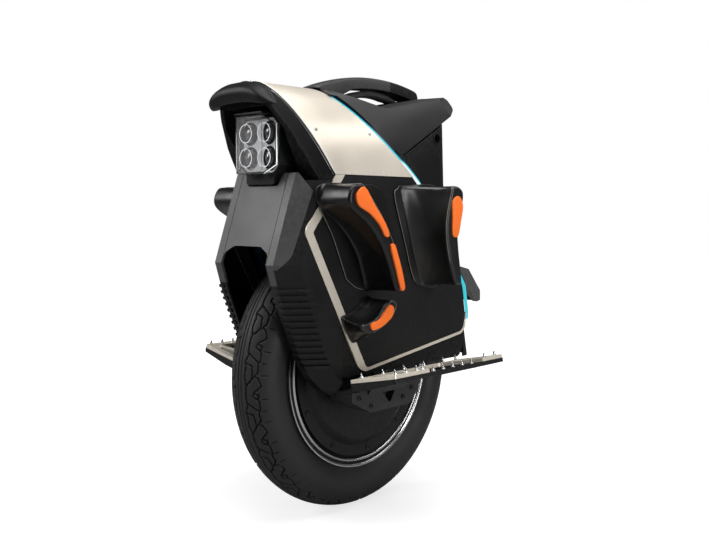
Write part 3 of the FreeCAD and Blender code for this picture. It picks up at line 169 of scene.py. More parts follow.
floor_mesh = bpy.data.meshes.new("floor")
corners = [(x * FLOOR_HALF, y * FLOOR_HALF, 0) for x, y in ((-1, -1), (1, -1), (1, 1), (-1, 1))]
floor_mesh.from_pydata(corners, [], [(0, 1, 2, 3)])
floor = bpy.data.objects.new("floor", floor_mesh)
bpy.context.scene.collection.objects.link(floor)
sweep = bpy.data.materials.new("floor_sweep")
sweep.use_nodes = True
tree = sweep.node_tree
paint = tree.nodes["Principled BSDF"]
paint.inputs["Base Color"].default_value = (FLOOR_GREY, FLOOR_GREY, FLOOR_GREY, 1)
paint.inputs["Roughness"].default_value = FLOOR_ROUGH
paint.inputs["Specular IOR Level"].default_value = 0.0
paint.inputs["Emission Color"].default_value = WHITE
away = add(tree, "ShaderNodeVectorMath", operation="LENGTH")
tree.links.new(object_point(tree), away.inputs[0])
fade = remap(tree, away.outputs["Value"], GLOW_FROM[0], GLOW_TO[0], GLOW_FROM[1], GLOW_TO[1])
seen = add(tree, "ShaderNodeLightPath").outputs["Is Camera Ray"]
tree.links.new(times(tree, seen, fade), paint.inputs["Emission Strength"])
floor_mesh.materials.append(sweep)
print("floor", 2 * FLOOR_HALF, "m wide")

# %% [markdown]
# ## Shared surface effects
# Moulded plastic carries a fine spark-eroded grain, patches that shine a little more where hands have been,
# and edges that wear lighter. Soft skin has pebbles instead of grain, and metal has brushed lines. Each
# effect is one node group that gives out values only, so that every finish can take as much of it as it
# needs.

# %% Grain, wear, skin and brushed lines
PATCH_LOW, PATCH_HIGH = 0.35, 0.65
EDGE_BENT, EDGE_SHARP = 0.505, 0.56
BRUSH_STRETCH = (1.0, 14.0, 14.0)


def effect(name, inputs, outputs):
    """Empty shader node group with float inputs and outputs; gives the tree and its two ends."""
    group = bpy.data.node_groups.new(name, "ShaderNodeTree")
    for label, value in inputs:
        socket = group.interface.new_socket(label, in_out="INPUT", socket_type="NodeSocketFloat")
        socket.default_value = value
    for label in outputs:
        group.interface.new_socket(label, in_out="OUTPUT", socket_type="NodeSocketFloat")
    return group, group.nodes.new("NodeGroupInput"), group.nodes.new("NodeGroupOutput")


def noise_at(tree, coords, scale, detail=3.0):
    """Noise value; the scale is a number or a socket."""
    node = add(tree, "ShaderNodeTexNoise")
    node.inputs["Detail"].default_value = detail
    if isinstance(scale, (int, float)):
        node.inputs["Scale"].default_value = scale
    else:
        tree.links.new(scale, node.inputs["Scale"])
    tree.links.new(coords, node.inputs["Vector"])
    return node.outputs["Fac"]


def patches(tree, where, scale, detail):
    """Large soft patches between 0 and 1."""
    return remap(tree, noise_at(tree, where, scale, detail), PATCH_LOW, PATCH_HIGH)


grain, ends_in, ends_out = effect("moulded_grain", [("Scale", 900.0)], ["Height", "Patches"])
where = object_point(grain)
grain.links.new(noise_at(grain, where, ends_in.outputs["Scale"], 4.0), ends_out.inputs["Height"])
grain.links.new(patches(grain, where, 9.0, 5.0), ends_out.inputs["Patches"])

worn, _, ends_out = effect("edge_wear", [], ["Mask"])
bent = add(worn, "ShaderNodeNewGeometry").outputs["Pointiness"]
chipped = remap(worn, noise_at(worn, object_point(worn), 160.0), 0.4, 0.62)
worn.links.new(times(worn, remap(worn, bent, EDGE_BENT, EDGE_SHARP), chipped), ends_out.inputs["Mask"])

pebble, ends_in, ends_out = effect("soft_skin", [("Scale", 700.0)], ["Height", "Patches"])
where = object_point(pebble)
cells = add(pebble, "ShaderNodeTexVoronoi", feature="SMOOTH_F1")
pebble.links.new(where, cells.inputs["Vector"])
pebble.links.new(ends_in.outputs["Scale"], cells.inputs["Scale"])
pebble.links.new(cells.outputs["Distance"], ends_out.inputs["Height"])
pebble.links.new(patches(pebble, where, 14.0, 4.0), ends_out.inputs["Patches"])

brushed, ends_in, ends_out = effect("brushed_lines", [("Scale", 60.0)], ["Height", "Patches"])
where = object_point(brushed)
drawn_out = add(brushed, "ShaderNodeMapping")
drawn_out.inputs["Scale"].default_value = BRUSH_STRETCH
brushed.links.new(where, drawn_out.inputs["Vector"])
lines = noise_at(brushed, drawn_out.outputs[0], ends_in.outputs["Scale"], 5.0)
brushed.links.new(lines, ends_out.inputs["Height"])
brushed.links.new(patches(brushed, where, 7.0, 3.0), ends_out.inputs["Patches"])
print("surface effects", [g.name for g in bpy.data.node_groups])

# %% [markdown]
# ## Zones of the light strip
# The strip is a light guide beside a dark groove: its front edge glows cyan, its rear is nearly black, and
# at the bend the light source itself shows as a white core. The strip runs along two slanted lines in the
# side view, so the distance behind those lines tells the front edge from the groove.

# %% Strip zones
STRIP_TOP, STRIP_BEND, STRIP_FOOT = (104.0, CREST + 12), (-80.0, PANEL_TOP - 6), (-204.0, AXLE + 134)
STRIP_SPLIT, SPLIT_BLUR = 2.7, 0.3
CORE_TOP, CORE_TOP_BLUR = PANEL_TOP + 30.0, 4.0
CORE_FOOT, CORE_FOOT_BLUR = PANEL_TOP - 70.0, 20.0


def behind_line(tree, where, start, end):
    """Distance in millimetres behind a slanted line in the side view, as a socket."""
    run, drop = start[0] - end[0], start[1] - end[1]
    length = math.hypot(run, drop)
    across = add(tree, "ShaderNodeVectorMath", operation="DOT_PRODUCT")
    tree.links.new(where, across.inputs[0])
    across.inputs[1].default_value = (-drop / length / MM, 0, run / length / MM)
    shifted = add(tree, "ShaderNodeMath", operation="SUBTRACT")
    tree.links.new(across.outputs["Value"], shifted.inputs[0])
    shifted.inputs[1].default_value = (run * start[1] - drop * start[0]) / length
    return shifted.outputs[0]


zones, _, ends_out = effect("strip_zones", [], ["Front", "Low"])
where = object_point(zones)
farther = add(zones, "ShaderNodeMath", operation="MAXIMUM")
zones.links.new(behind_line(zones, where, STRIP_TOP, STRIP_BEND), farther.inputs[0])
zones.links.new(behind_line(zones, where, STRIP_BEND, STRIP_FOOT), farther.inputs[1])
front_edge = remap(zones, farther.outputs[0], STRIP_SPLIT + SPLIT_BLUR, STRIP_SPLIT - SPLIT_BLUR)
zones.links.new(front_edge, ends_out.inputs["Front"])
spot = add(zones, "ShaderNodeSeparateXYZ")
zones.links.new(where, spot.inputs[0])
height = spot.outputs["Z"]
below_top = remap(zones, height, (CORE_TOP + CORE_TOP_BLUR) * MM, (CORE_TOP - CORE_TOP_BLUR) * MM)
above_foot = remap(zones, height, CORE_FOOT * MM, (CORE_FOOT + CORE_FOOT_BLUR) * MM)
zones.links.new(times(zones, below_top, above_foot), ends_out.inputs["Low"])
print("strip from", STRIP_TOP, "over", STRIP_BEND, "to", STRIP_FOOT)

# %% [markdown]
# ## Perforated skin
# The shin face of the front pad has a field of small holes over a brown backing. The field is bounded by
# plain planes in space and fades out downwards. The holes are the cells of a regular grid that is turned by
# 45 degrees, which costs no geometry and stays sharp at any distance.

# %% Perforation
HOLES_INNER, HOLES_OUTER = 103.0, 152.0
HOLES_TOP, HOLES_BOTTOM = PANEL_TOP - 44, PANEL_TOP - 128
HOLES_TAPER = 0.39
HOLES_BLUR, HOLES_FADE = 3.0, 30.0
HOLE_EDGE, HOLE_FLOOR = 0.28, 0.2
SHIN_EDGE, SHIN_FACE = 0.1, 0.3
holes, ends_in, ends_out = effect("perforation", [("Scale", 330.0)], ["Area", "Dots"])
spot = add(holes, "ShaderNodeSeparateXYZ")
holes.links.new(object_point(holes), spot.inputs[0])
height = spot.outputs["Z"]
facing = add(holes, "ShaderNodeSeparateXYZ")
holes.links.new(add(holes, "ShaderNodeNewGeometry").outputs["Normal"], facing.inputs[0])
sideways_out = add(holes, "ShaderNodeMath", operation="ABSOLUTE")
holes.links.new(spot.outputs["Y"], sideways_out.inputs[0])
slanted = add(holes, "ShaderNodeMath", operation="MULTIPLY_ADD")
holes.links.new(height, slanted.inputs[0])
slanted.inputs[1].default_value = HOLES_TAPER
holes.links.new(sideways_out.outputs[0], slanted.inputs[2])
inner_edge = HOLES_INNER + HOLES_TAPER * HOLES_TOP
area = remap(holes, slanted.outputs[0], inner_edge * MM, (inner_edge + HOLES_BLUR) * MM)
for source, low, high in ((sideways_out.outputs[0], HOLES_OUTER * MM, (HOLES_OUTER - HOLES_BLUR) * MM),
                          (height, (HOLES_TOP + HOLES_BLUR) * MM, HOLES_TOP * MM),
                          (height, HOLES_BOTTOM * MM, (HOLES_BOTTOM + HOLES_FADE) * MM),
                          (facing.outputs["X"], SHIN_EDGE, SHIN_FACE)):
    area = times(holes, area, remap(holes, source, low, high))
holes.links.new(area, ends_out.inputs["Area"])
flat = add(holes, "ShaderNodeCombineXYZ")
holes.links.new(sideways_out.outputs[0], flat.inputs["X"])
holes.links.new(height, flat.inputs["Y"])
turned_grid = add(holes, "ShaderNodeMapping")
turned_grid.inputs["Rotation"].default_value = (0, 0, math.radians(45))
holes.links.new(flat.outputs[0], turned_grid.inputs["Vector"])
dots = add(holes, "ShaderNodeTexVoronoi", voronoi_dimensions="2D")
dots.inputs["Randomness"].default_value = 0.0
holes.links.new(turned_grid.outputs[0], dots.inputs["Vector"])
holes.links.new(ends_in.outputs["Scale"], dots.inputs["Scale"])
punched = times(holes, area, remap(holes, dots.outputs["Distance"], HOLE_EDGE, HOLE_FLOOR))
holes.links.new(punched, ends_out.inputs["Dots"])
print("hole field from", HOLES_INNER, "to", HOLES_OUTER, "mm off the middle")

# %% [markdown]
# ## Finishes
# Each finish is a Principled material. The effect groups steer its colour, its roughness and its bump; the
# plain values sit on the shader. Colours were judged against the photograph under the same light.

# %% Materials
EDGE_GAIN, EDGE_LIFT = 1.5, 0.03


def finish(name, colour, rough, effect_group=grain, scale=900.0, bump=0.05, depth=0.0002, shift=0.25,
           uneven=0.08, wear=0.25, metallic=0.0, **sockets):
    """Material varied in colour, roughness and bump by one effect group, with lighter worn edges."""
    made = bpy.data.materials.new(name)
    made.use_nodes = True
    tree = made.node_tree
    shader = tree.nodes["Principled BSDF"]
    shader.inputs["Metallic"].default_value = metallic
    for key, value in sockets.items():
        shader.inputs[key.replace("_", " ")].default_value = value
    effect_node = add(tree, "ShaderNodeGroup", node_tree=effect_group)
    effect_node.inputs["Scale"].default_value = scale
    wear_node = add(tree, "ShaderNodeGroup", node_tree=worn)
    patchy = add(tree, "ShaderNodeMix", data_type="RGBA")
    patchy.inputs["A"].default_value = (*colour, 1)
    patchy.inputs["B"].default_value = (*[min(1.0, c * (1 + shift)) for c in colour], 1)
    tree.links.new(effect_node.outputs["Patches"], patchy.inputs["Factor"])
    edged = add(tree, "ShaderNodeMix", data_type="RGBA")
    edged.inputs["B"].default_value = (*[min(1.0, c * EDGE_GAIN + EDGE_LIFT) for c in colour], 1)
    tree.links.new(times(tree, wear_node.outputs["Mask"], wear), edged.inputs["Factor"])
    tree.links.new(patchy.outputs["Result"], edged.inputs["A"])
    tree.links.new(edged.outputs["Result"], shader.inputs["Base Color"])
    sheen = remap(tree, effect_node.outputs["Patches"], 0, 1, rough - uneven, rough + uneven)
    tree.links.new(sheen, shader.inputs["Roughness"])
    relief = add(tree, "ShaderNodeBump")
    relief.inputs["Strength"].default_value = bump
    relief.inputs["Distance"].default_value = depth
    tree.links.new(effect_node.outputs["Height"], relief.inputs["Height"])
    tree.links.new(relief.outputs["Normal"], shader.inputs["Normal"])
    return made


BLACK = finish("black_plastic", (0.007, 0.007, 0.0073), 0.44, Specular_IOR_Level=0.2)
DARK = finish("dark_plastic", (0.004, 0.004, 0.0042), 0.5, Specular_IOR_Level=0.16)
COWL_BLACK = finish("cowl_black", (0.004, 0.004, 0.0042), 0.5, Specular_IOR_Level=0.07)
VISOR_BLACK = finish("visor_soft_black", (0.006, 0.006, 0.0062), 0.46, pebble, 800.0, Specular_IOR_Level=0.17)
FRONT_GREY = finish("front_grey", (0.048, 0.048, 0.0486), 0.44, Specular_IOR_Level=0.3)
BLOCK_GREY = finish("block_grey", (0.017, 0.017, 0.0173), 0.42, Specular_IOR_Level=0.3)
FLAP_GREY = finish("flap_grey", (0.06, 0.06, 0.06), 0.42)
HANDLE_GREY = finish("handle_grey", (0.03, 0.03, 0.031), 0.44, Specular_IOR_Level=0.3)
HANGER_GREY = finish("cast_hanger", (0.019, 0.019, 0.0195), 0.42, Specular_IOR_Level=0.32)
MOTOR = finish("motor_coat", (0.008, 0.008, 0.0083), 0.5, grain, 1400.0, 0.1, Specular_IOR_Level=0.2)
WRAP = finish("battery_wrap", (0.02, 0.05, 0.12), 0.4, grain, 500.0, 0.05)
BOARD = finish("board_green", (0.01, 0.07, 0.03), 0.45, grain, 700.0, 0.05)
TAIL = finish("tail_red", (0.32, 0.008, 0.008), 0.22, grain, 500.0, 0.02)
print("plastics", len(bpy.data.materials))

# %% [markdown]
# ## Metal, rubber and skin
# The champagne band is a satin coat with metal flakes, so it is only half metallic. The rim, spikes and
# bolts are bare metal. Tyre rubber and the skin of the pads share the pebbled effect at different scales.

# %% Metals and soft finishes
CHAMPAGNE = finish("champagne_satin", (0.76, 0.69, 0.59), 0.36, brushed, 90.0, 0.03, metallic=0.45,
                   shift=0.05, wear=0.15)
# Painted highlight: the bead is painted much paler than the band so that it reads as a thin white line.
BAND_BEAD_HIGHLIGHT = finish("champagne_bead_painted_highlight", (0.95, 0.91, 0.84), 0.25, brushed, 90.0, 0.02, shift=0.03, wear=0.0)
BRIGHT = finish("bright_alloy", (0.72, 0.72, 0.73), 0.24, brushed, 80.0, 0.04, metallic=1.0, shift=0.05)
RIM_ALLOY = finish("rim_alloy", (0.46, 0.46, 0.47), 0.26, brushed, 80.0, 0.04, metallic=1.0, shift=0.08)
STEEL = finish("bolt_steel", (0.32, 0.32, 0.33), 0.34, brushed, 120.0, 0.04, metallic=1.0)
DARK_STEEL = finish("black_bolt", (0.03, 0.03, 0.032), 0.38, grain, 1200.0, 0.05, metallic=0.6)
SPIKE = finish("spike_steel", (0.78, 0.78, 0.78), 0.22, brushed, 140.0, 0.04, metallic=1.0, shift=0.05)
IRON = finish("core_iron", (0.1, 0.095, 0.09), 0.5, brushed, 100.0, 0.1, metallic=0.8)
SINK = finish("sink_alloy", (0.4, 0.4, 0.41), 0.4, brushed, 90.0, 0.06, metallic=1.0)
RUBBER = finish("tyre_rubber", (0.015, 0.015, 0.0153), 0.58, pebble, 420.0, 0.12, shift=0.3,
                Specular_IOR_Level=0.3)
SKIN = dict(effect_group=pebble, scale=900.0, bump=0.06, wear=0.1)
PAD = finish("pad_skin", (0.004, 0.004, 0.0042), 0.36, Specular_IOR_Level=0.55, **SKIN)
PERFORATED = finish("perforated_skin", (0.004, 0.004, 0.0042), 0.36, Specular_IOR_Level=0.34, **SKIN)
ORANGE = finish("orange_skin", (0.98, 0.18, 0.026), 0.5, shift=0.06, Specular_IOR_Level=0.2, **SKIN)
PIPING = finish("pale_piping", (0.2, 0.17, 0.14), 0.4, pebble, 900.0, 0.05)
BACKING, HOLE_TINT = (0.02, 0.012, 0.007), (0.06, 0.04, 0.025)


def blend_colours(tree, low, high, mask):
    """Mix node between two colours or colour sockets by a mask socket; gives its result socket."""
    node = add(tree, "ShaderNodeMix", data_type="RGBA")
    tree.links.new(mask, node.inputs["Factor"])
    for key, source in (("A", low), ("B", high)):
        if isinstance(source, tuple):
            node.inputs[key].default_value = (*source, 1)
        else:
            tree.links.new(source, node.inputs[key])
    return node.outputs["Result"]


tree = PERFORATED.node_tree
base_colour = tree.nodes["Principled BSDF"].inputs["Base Color"]
field = add(tree, "ShaderNodeGroup", node_tree=holes)
browned = blend_colours(tree, base_colour.links[0].from_socket, BACKING, field.outputs["Area"])
tree.links.new(blend_colours(tree, browned, HOLE_TINT, field.outputs["Dots"]), base_colour)
print("with metals and skins", len(bpy.data.materials))

# %% [markdown]
# ## Lamp and light finishes
# The headlight has a clear lens with a frosted front, a pale pane behind it, dark projector glass and thin
# bright rings. The rings and the beads along the lens facets glow white: a painted highlight standing in for
# the glints of light on them. Glass keeps plain values for metal and transmission. The light strip glows in
# the colours of its zones.

# %% Lamp finishes
REFLECTOR = finish("reflector_pane", (0.86, 0.86, 0.87), 0.3, grain, 300.0, 0.02, shift=0.05)
FROST = finish("frosted_lens", (0.9, 0.9, 0.91), 0.03, grain, 300.0, 0.004, uneven=0.02, shift=0.02, wear=0.0,
               Transmission_Weight=0.9, IOR=1.2)
CLEAR = finish("clear_lens", (0.97, 0.98, 0.98), 0.05, grain, 200.0, 0.004, uneven=0.03, wear=0.0, shift=0.0,
               Transmission_Weight=1.0, IOR=1.45)
PROJECTOR = finish("projector_glass", (0.03, 0.03, 0.032), 0.1, grain, 200.0, 0.01, uneven=0.04, shift=0.05,
                   Coat_Weight=1.0)
# Painted highlight: this white glow on the rings and facet beads stands in for glints of light.
PAINTED_GLINT = finish("ring_painted_glint", (0.9, 0.9, 0.9), 0.3, grain, 900.0, 0.02, wear=0.0, Emission_Color=WHITE,
              Emission_Strength=0.7)
GLOW = finish("cyan_light", (0.008, 0.03, 0.04), 0.3, grain, 300.0, 0.02, wear=0.0, Emission_Strength=1.0)
CYAN, WHITE_CORE, GROOVE_BLUE = (0.05, 0.58, 0.68), (0.9, 0.98, 1.0), (0.002, 0.012, 0.04)
tree = GLOW.node_tree
zone = add(tree, "ShaderNodeGroup", node_tree=zones)
upper = blend_colours(tree, GROOVE_BLUE, CYAN, zone.outputs["Front"])
lower = blend_colours(tree, CYAN, WHITE_CORE, zone.outputs["Front"])
strip_colour = blend_colours(tree, upper, lower, zone.outputs["Low"])
tree.links.new(strip_colour, tree.nodes["Principled BSDF"].inputs["Emission Color"])
print("finishes", len(bpy.data.materials))

# %% [markdown]
# ## Dress the CAD pieces
# The moulded and machined pieces keep their CAD mesh. Real edges are never razor sharp, so the side panels,
# leg covers, trims, pedal parts, covers, lamp housing, lever and rear block are welded and get a small bevel,
# which catches the light along their seams the way a moulded edge does.

# %% Finishes on the frame
EDGE_MM, WELD_MM = 0.5, 0.02
SHARP_ANGLE = math.radians(32)


def sides(*stems):
    """Names of the left and right node of each stem."""
    return [stem + "_" + side for stem in stems for side in ("left", "right")]


DRESS = {
    BLACK: sides("side_panel", "leg_cover") + ["rear_cover", "headlight_housing", "charge_port"],
    DARK: sides("case", "frame") + ["wheel_arch", "valve_stem", "power_button", "lift_lever",
                                    "handle_end_cap"],
    COWL_BLACK: ["headlight_cowl"],
    VISOR_BLACK: ["visor"],
    FRONT_GREY: ["front_cover"],
    BLOCK_GREY: ["rear_block"],
    FLAP_GREY: ["rear_fender"],
    HANDLE_GREY: ["handle"],
    HANGER_GREY: sides("pedal_hanger"),
    MOTOR: sides("pedal_base") + ["motor_covers"],
    CHAMPAGNE: sides("side_trim", "pedal_deck") + ["arch_band"],
    RUBBER: ["tyre"],
    BRIGHT: ["rim"],
    STEEL: ["axle", "axle_nuts", "wheel_bearings", "lever_pin", "pedal_pins", "band_screws"],
    DARK_STEEL: ["motor_cover_bolts", "hanger_bolts"],
    SPIKE: sides("pedal_spikes"),
    PAD: sides("front_pad", "rear_pad", "ankle_pad"),
    ORANGE: ["pad_inserts"],
    IRON: ["stator", "magnet_ring"],
    WRAP: ["battery_packs"],
    SINK: ["heat_sink"],
    BOARD: ["controller_board"],
    TAIL: ["tail_light"],
    CLEAR: ["headlight_lens"],
    PROJECTOR: ["headlight_projectors"],
    GLOW: ["light_strips"]}
EASED = (sides("side_panel", "leg_cover", "side_trim", "pedal_deck", "pedal_base", "pedal_hanger")
         + ["front_cover", "rear_fender", "headlight_housing", "motor_covers", "lift_lever", "rear_block"])


def soften(node):
    """Weld the facets, round the sharp edges, and let the large faces rule the shading."""
    weld = node.modifiers.new("weld", "WELD")
    weld.merge_threshold = WELD_MM * MM
    bevel = node.modifiers.new("edge", "BEVEL")
    bevel.width = EDGE_MM * MM
    bevel.segments = 2
    bevel.limit_method = "ANGLE"
    bevel.angle_limit = SHARP_ANGLE
    bevel.harden_normals = True
    node.modifiers.new("shade", "WEIGHTED_NORMAL").keep_sharp = True


for material, names in DRESS.items():
    for name in names:
        for place in NODES[name].material_slots:
            place.material = material
for name in EASED:
    soften(NODES[name])
print("dressed", sum(len(names) for names in DRESS.values()), "of", len(NODES))

# %% [markdown]
# ## Making new pieces
# Some shapes say more than a CAD solid can: tread, stuffed pads, lamp bowls. They are built as rings of
# points that are skinned into a mesh, in millimetres, and then ride on the CAD body they belong to.

# %% Skins and pieces


def mesh_of(name, points, faces, split_large=False):
    """Mesh from points in millimetres with its faces turned outward, and large faces split if asked."""
    mesh = bpy.data.meshes.new(name)
    mesh.from_pydata([Vector(p) * MM for p in points], [], faces)
    mesh.validate()
    work = bmesh.new()
    work.from_mesh(mesh)
    bmesh.ops.recalc_face_normals(work, faces=work.faces)
    if split_large:
        bmesh.ops.triangulate(work, faces=[f for f in work.faces if len(f.verts) > 4])
    work.to_mesh(mesh)
    work.free()
    return mesh


def piece(name, points, faces, material, body, stands_for=(), slot=None, sharp=40):
    """Mesh in millimetres as a piece that rides on a CAD body; edges above an angle stay crisp."""
    mesh = mesh_of(name, points, faces)
    for each in material if isinstance(material, list) else [material]:
        mesh.materials.append(each)
    mesh.shade_smooth()
    mesh.set_sharp_from_angle(angle=math.radians(sharp))
    obj = bpy.data.objects.new(name, mesh)
    bpy.context.scene.collection.objects.link(obj)
    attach(obj, body)
    if stands_for:
        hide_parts(*stands_for)
    return obj


def skin_rings(rings, cap_first=True, cap_last=True):
    """Points and faces of a skin over closed rings that all have the same number of points."""
    count = len(rings[0])
    points = [tuple(p) for ring in rings for p in ring]
    faces = []
    for r in range(len(rings) - 1):
        for i in range(count):
            j = (i + 1) % count
            faces.append((r * count + i, r * count + j, (r + 1) * count + j, (r + 1) * count + i))
    if cap_first:
        faces.append(tuple(range(count)))
    if cap_last:
        faces.append(tuple((len(rings) - 1) * count + i for i in range(count)))
    return points, faces


def skin_loop(rings):
    """Points and faces of a skin over rings whose last one joins the first."""
    points, faces = skin_rings(rings + rings[:1], False, False)
    total = len(rings) * len(rings[0])
    return points[:total], [tuple(i % total for i in f) for f in faces]


def mirrored(points, faces):
    """The right-hand twin of a left-hand mesh."""
    return [(x, -y, z) for x, y, z in points], [tuple(reversed(f)) for f in faces]


def joined(*parts):
    """Several (points, faces) meshes as one."""
    points, faces = [], []
    for more_points, more_faces in parts:
        faces += [tuple(i + len(points) for i in f) for f in more_faces]
        points += [tuple(p) for p in more_points]
    return points, faces


print("helpers", [f.__name__ for f in (mesh_of, piece, skin_rings, skin_loop, mirrored, joined)])

# %% [markdown]
# ## Outlines
# A closed curve through a few control points is enough to draw an outline, as a pattern maker would with a
# bent batten. Moved inward in steps, an outline makes a rounded rim, and that rim closes a plate. The side
# view is drawn in X and Z, so an outline is set upright at some distance Y from the middle of the machine.

# %% Curves, rims and plates
PER_SPAN = 8
PLATE_RIM_STEPS = 4


def closed_curve(controls, per_span=PER_SPAN):
    """Even samples of a smooth closed curve through 2D control points."""
    points = np.array(controls, float)
    steps = np.arange(per_span)[:, None] / per_span
    spans = []
    for i in range(len(points)):
        a, b, c, d = (points[(i + k) % len(points)] for k in (-1, 0, 1, 2))
        spans.append(0.5 * (2 * b + (c - a) * steps + (2 * a - 5 * b + 4 * c - d) * steps ** 2
                            + (3 * b - a - 3 * c + d) * steps ** 3))
    return np.concatenate(spans)


def shrink(loop, distance):
    """Closed 2D loop moved inward, point by point, by one distance or by one for each point."""
    along = np.roll(loop, -1, axis=0) - np.roll(loop, 1, axis=0)
    along /= np.linalg.norm(along, axis=1)[:, None]
    area = np.sum(loop[:, 0] * np.roll(loop[:, 1], -1) - np.roll(loop[:, 0], -1) * loop[:, 1])
    inward = np.stack([-along[:, 1], along[:, 0]], axis=1) * np.sign(area)
    return loop + inward * np.reshape(distance, (-1, 1))


def at_y(loop, y):
    """2D loop of (x, z) points set upright at one Y."""
    return np.column_stack([loop[:, 0], np.full(len(loop), y), loop[:, 1]])


def rounded_rim(loop, edge, high, steps, first=0):
    """Rings of a quarter round that leads from the side of an outline to its outer face at one Y."""
    rings = []
    for step in range(first, steps + 1):
        turn = math.pi / 2 * step / steps
        rings.append(at_y(shrink(loop, edge * (1 - math.cos(turn))), high - edge + edge * math.sin(turn)))
    return rings


def plate(loop, low, high, edge):
    """Flat plate of an outline between two Y values with a rounded outer edge."""
    return skin_rings([at_y(loop, low)] + rounded_rim(loop, edge, high, PLATE_RIM_STEPS))


print("outlines have", PER_SPAN, "points for each control point")

# %% [markdown]
# ## Leg pads
# The rider steers with the shins and grips with the calves, so each side carries three pads of soft skin
# over foam. The two upper pads grow out of a thin flange on the panel. A pad is skinned from its outline at
# the panel to its outline at the outer end, and hollowed on the side where the leg lies. Scoop gives the
# first and last control point and the depth of that hollow; piped and welted give where the pale threads
# start and end.

# %% Pad outlines
FRONT_OUT, REAR_OUT, ANKLE_OUT = (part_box(n + "_pad_left")[1][1] / MM for n in ("front", "rear", "ankle"))
PADS = {
    "front_pad": dict(
        base=[(148, -13), (156, -32), (149, -48), (112, -74), (79, -113), (65, -148), (56, -168), (46, -174),
              (14, -170), (6, -150), (30, -96), (62, -53), (100, -14), (128, -11)],
        tip=[(150, -14), (158, -31), (151, -47), (116, -69.5), (88.6, -99.5), (68.8, -134), (55, -168),
             (46, -173), (36, -168), (37, -150), (60, -96.5), (89, -53), (124, -14), (138, -10.5)],
        level=PANEL_TOP, out=FRONT_OUT, ease=1.0, scoop=(1.6, 7.0, 7.0), piped=(8, 13), welted=(9, 13),
        flange=[(162, -30), (146, -9), (60, -8.5), (34, -10), (10, -25), (-8, -84), (-27, -129), (-41, -165),
                (-33, -174), (60, -173), (94, -158), (104, -142), (128, -89)]),
    "rear_pad": dict(
        base=[(-40, -10), (-30, -28), (-42, -68), (-55, -108), (-71, -150), (-82, -170), (-95, -173),
              (-122, -170), (-127, -110), (-127, -78), (-127, -28), (-118, -12)],
        tip=[(-93, -10), (-86, -25), (-75, -67.5), (-78.5, -108), (-92, -150), (-101, -169), (-110, -172),
             (-118, -167), (-109, -110), (-108, -78), (-121, -28), (-113, -12)],
        level=PANEL_TOP, out=REAR_OUT, ease=2.4, scoop=(0.0, 1.0, 0.0), piped=(0, 3.75), welted=(1, 4.5),
        flange=[(-36, -8.5), (-21, -13), (-13.5, -27), (-39, -100), (-60, -158), (-78, -174), (-128, -174),
                (-131, -90), (-130, -12)]),
    "ankle_pad": dict(
        base=[(56, 125), (72, 114), (88, 106), (99, 102), (106, 98), (103, 88), (95, 75), (80, 60), (50, 66),
              (36, 90), (34, 114), (44, 125)],
        tip=[(44, 122), (54.6, 112), (69, 100.6), (88, 93), (101, 92), (104, 86), (95, 77), (77, 76),
             (43, 90.6), (27, 107), (24, 117), (33, 123)],
        level=AXLE, out=ANKLE_OUT, ease=1.3, scoop=(0.0, 4.6, 5.0), piped=(7, 11.75), flange=None)}
PAD_FLANGE, PAD_SEAT, PAD_SUNK = 3.0, 0.3, 1.0
PAD_EDGE, PAD_SPARE = 5.0, 1.2
PAD_STATIONS, END_STEPS = 22, 5
SCOOP_END, SCOOP_FULL = 1.06, 0.8
ROOT_FLARE, ROOT_END = 3.5, 0.07


def pad_rings(base, tip, level, out, ease, scoop, flange, **_):
    """Rings from the panel outward: eased from base to tip, hollowed on one side, rounded at the end."""
    base, tip = closed_curve(base), closed_curve(tip)
    first, last, depth = scoop
    place = np.arange(len(base)) / PER_SPAN
    hollow = depth * np.sin(np.pi * np.clip((place - first) / (last - first), 0, 1))
    low = BODY_HALF + (PAD_FLANGE - PAD_SUNK if flange else PAD_SEAT)
    high = out - PAD_SPARE
    rings = []
    for t in np.linspace(0, 1 - PAD_EDGE / (high - low), PAD_STATIONS):
        loop = base + (tip - base) * (1 - (1 - t) ** ease)
        dip = math.sin(math.pi * min(1.0, t * SCOOP_END)) ** SCOOP_FULL
        root = ROOT_FLARE * max(0.0, 1 - t / ROOT_END) ** 2
        rings.append(at_y(shrink(loop, hollow * dip - root), low + (high - low) * t))
    rings += rounded_rim(tip, PAD_EDGE, high, END_STEPS, first=1)
    for ring in rings:
        ring[:, 2] += level
    return rings


print("pads", list(PADS), "out to", round(FRONT_OUT), round(REAR_OUT), round(ANKLE_OUT))

# %% [markdown]
# ## Stuffing the pads
# Foam pushes the skin of a real pad outward, which gives it crowned faces. Here the closed skin is blown up
# as cloth with the panel side held, and its movement is then scaled down, so that the pad keeps its size.
# Only the left pads are blown up; the right ones are twins. A pale thread runs along the outer rim and the
# flange.

# %% Blow up the skins and fit the pads
PAD_PRESSURE, CLOTH_FRAMES = 4.0, 20
PAD_GIVE, PAD_HELD = 1.6, 5.0
FLANGE_EDGE, WELT_INSET = 1.4, 0.5
PIPING_RADIUS, THREAD_TIP = 0.45, 0.4


def line_tube(path_points, radius, corners=8):
    """Round-ended thread of round section along an open chain of points."""
    path_points = [Vector(p) for p in path_points]
    last = len(path_points) - 1
    rings = []
    for i, here in enumerate(path_points):
        along = (path_points[min(i + 1, last)] - path_points[max(i - 1, 0)]).normalized()
        side = along.cross(Vector((0, 1, 0)))
        side = side.normalized() if side.length > 0.05 else along.orthogonal().normalized()
        up = side.cross(along).normalized()
        r = radius * (THREAD_TIP if i in (0, last) else 1.0)
        turns = [2 * math.pi * k / corners for k in range(corners)]
        rings.append([here + side * (r * math.cos(t)) + up * (r * math.sin(t)) for t in turns])
    return skin_rings(rings)


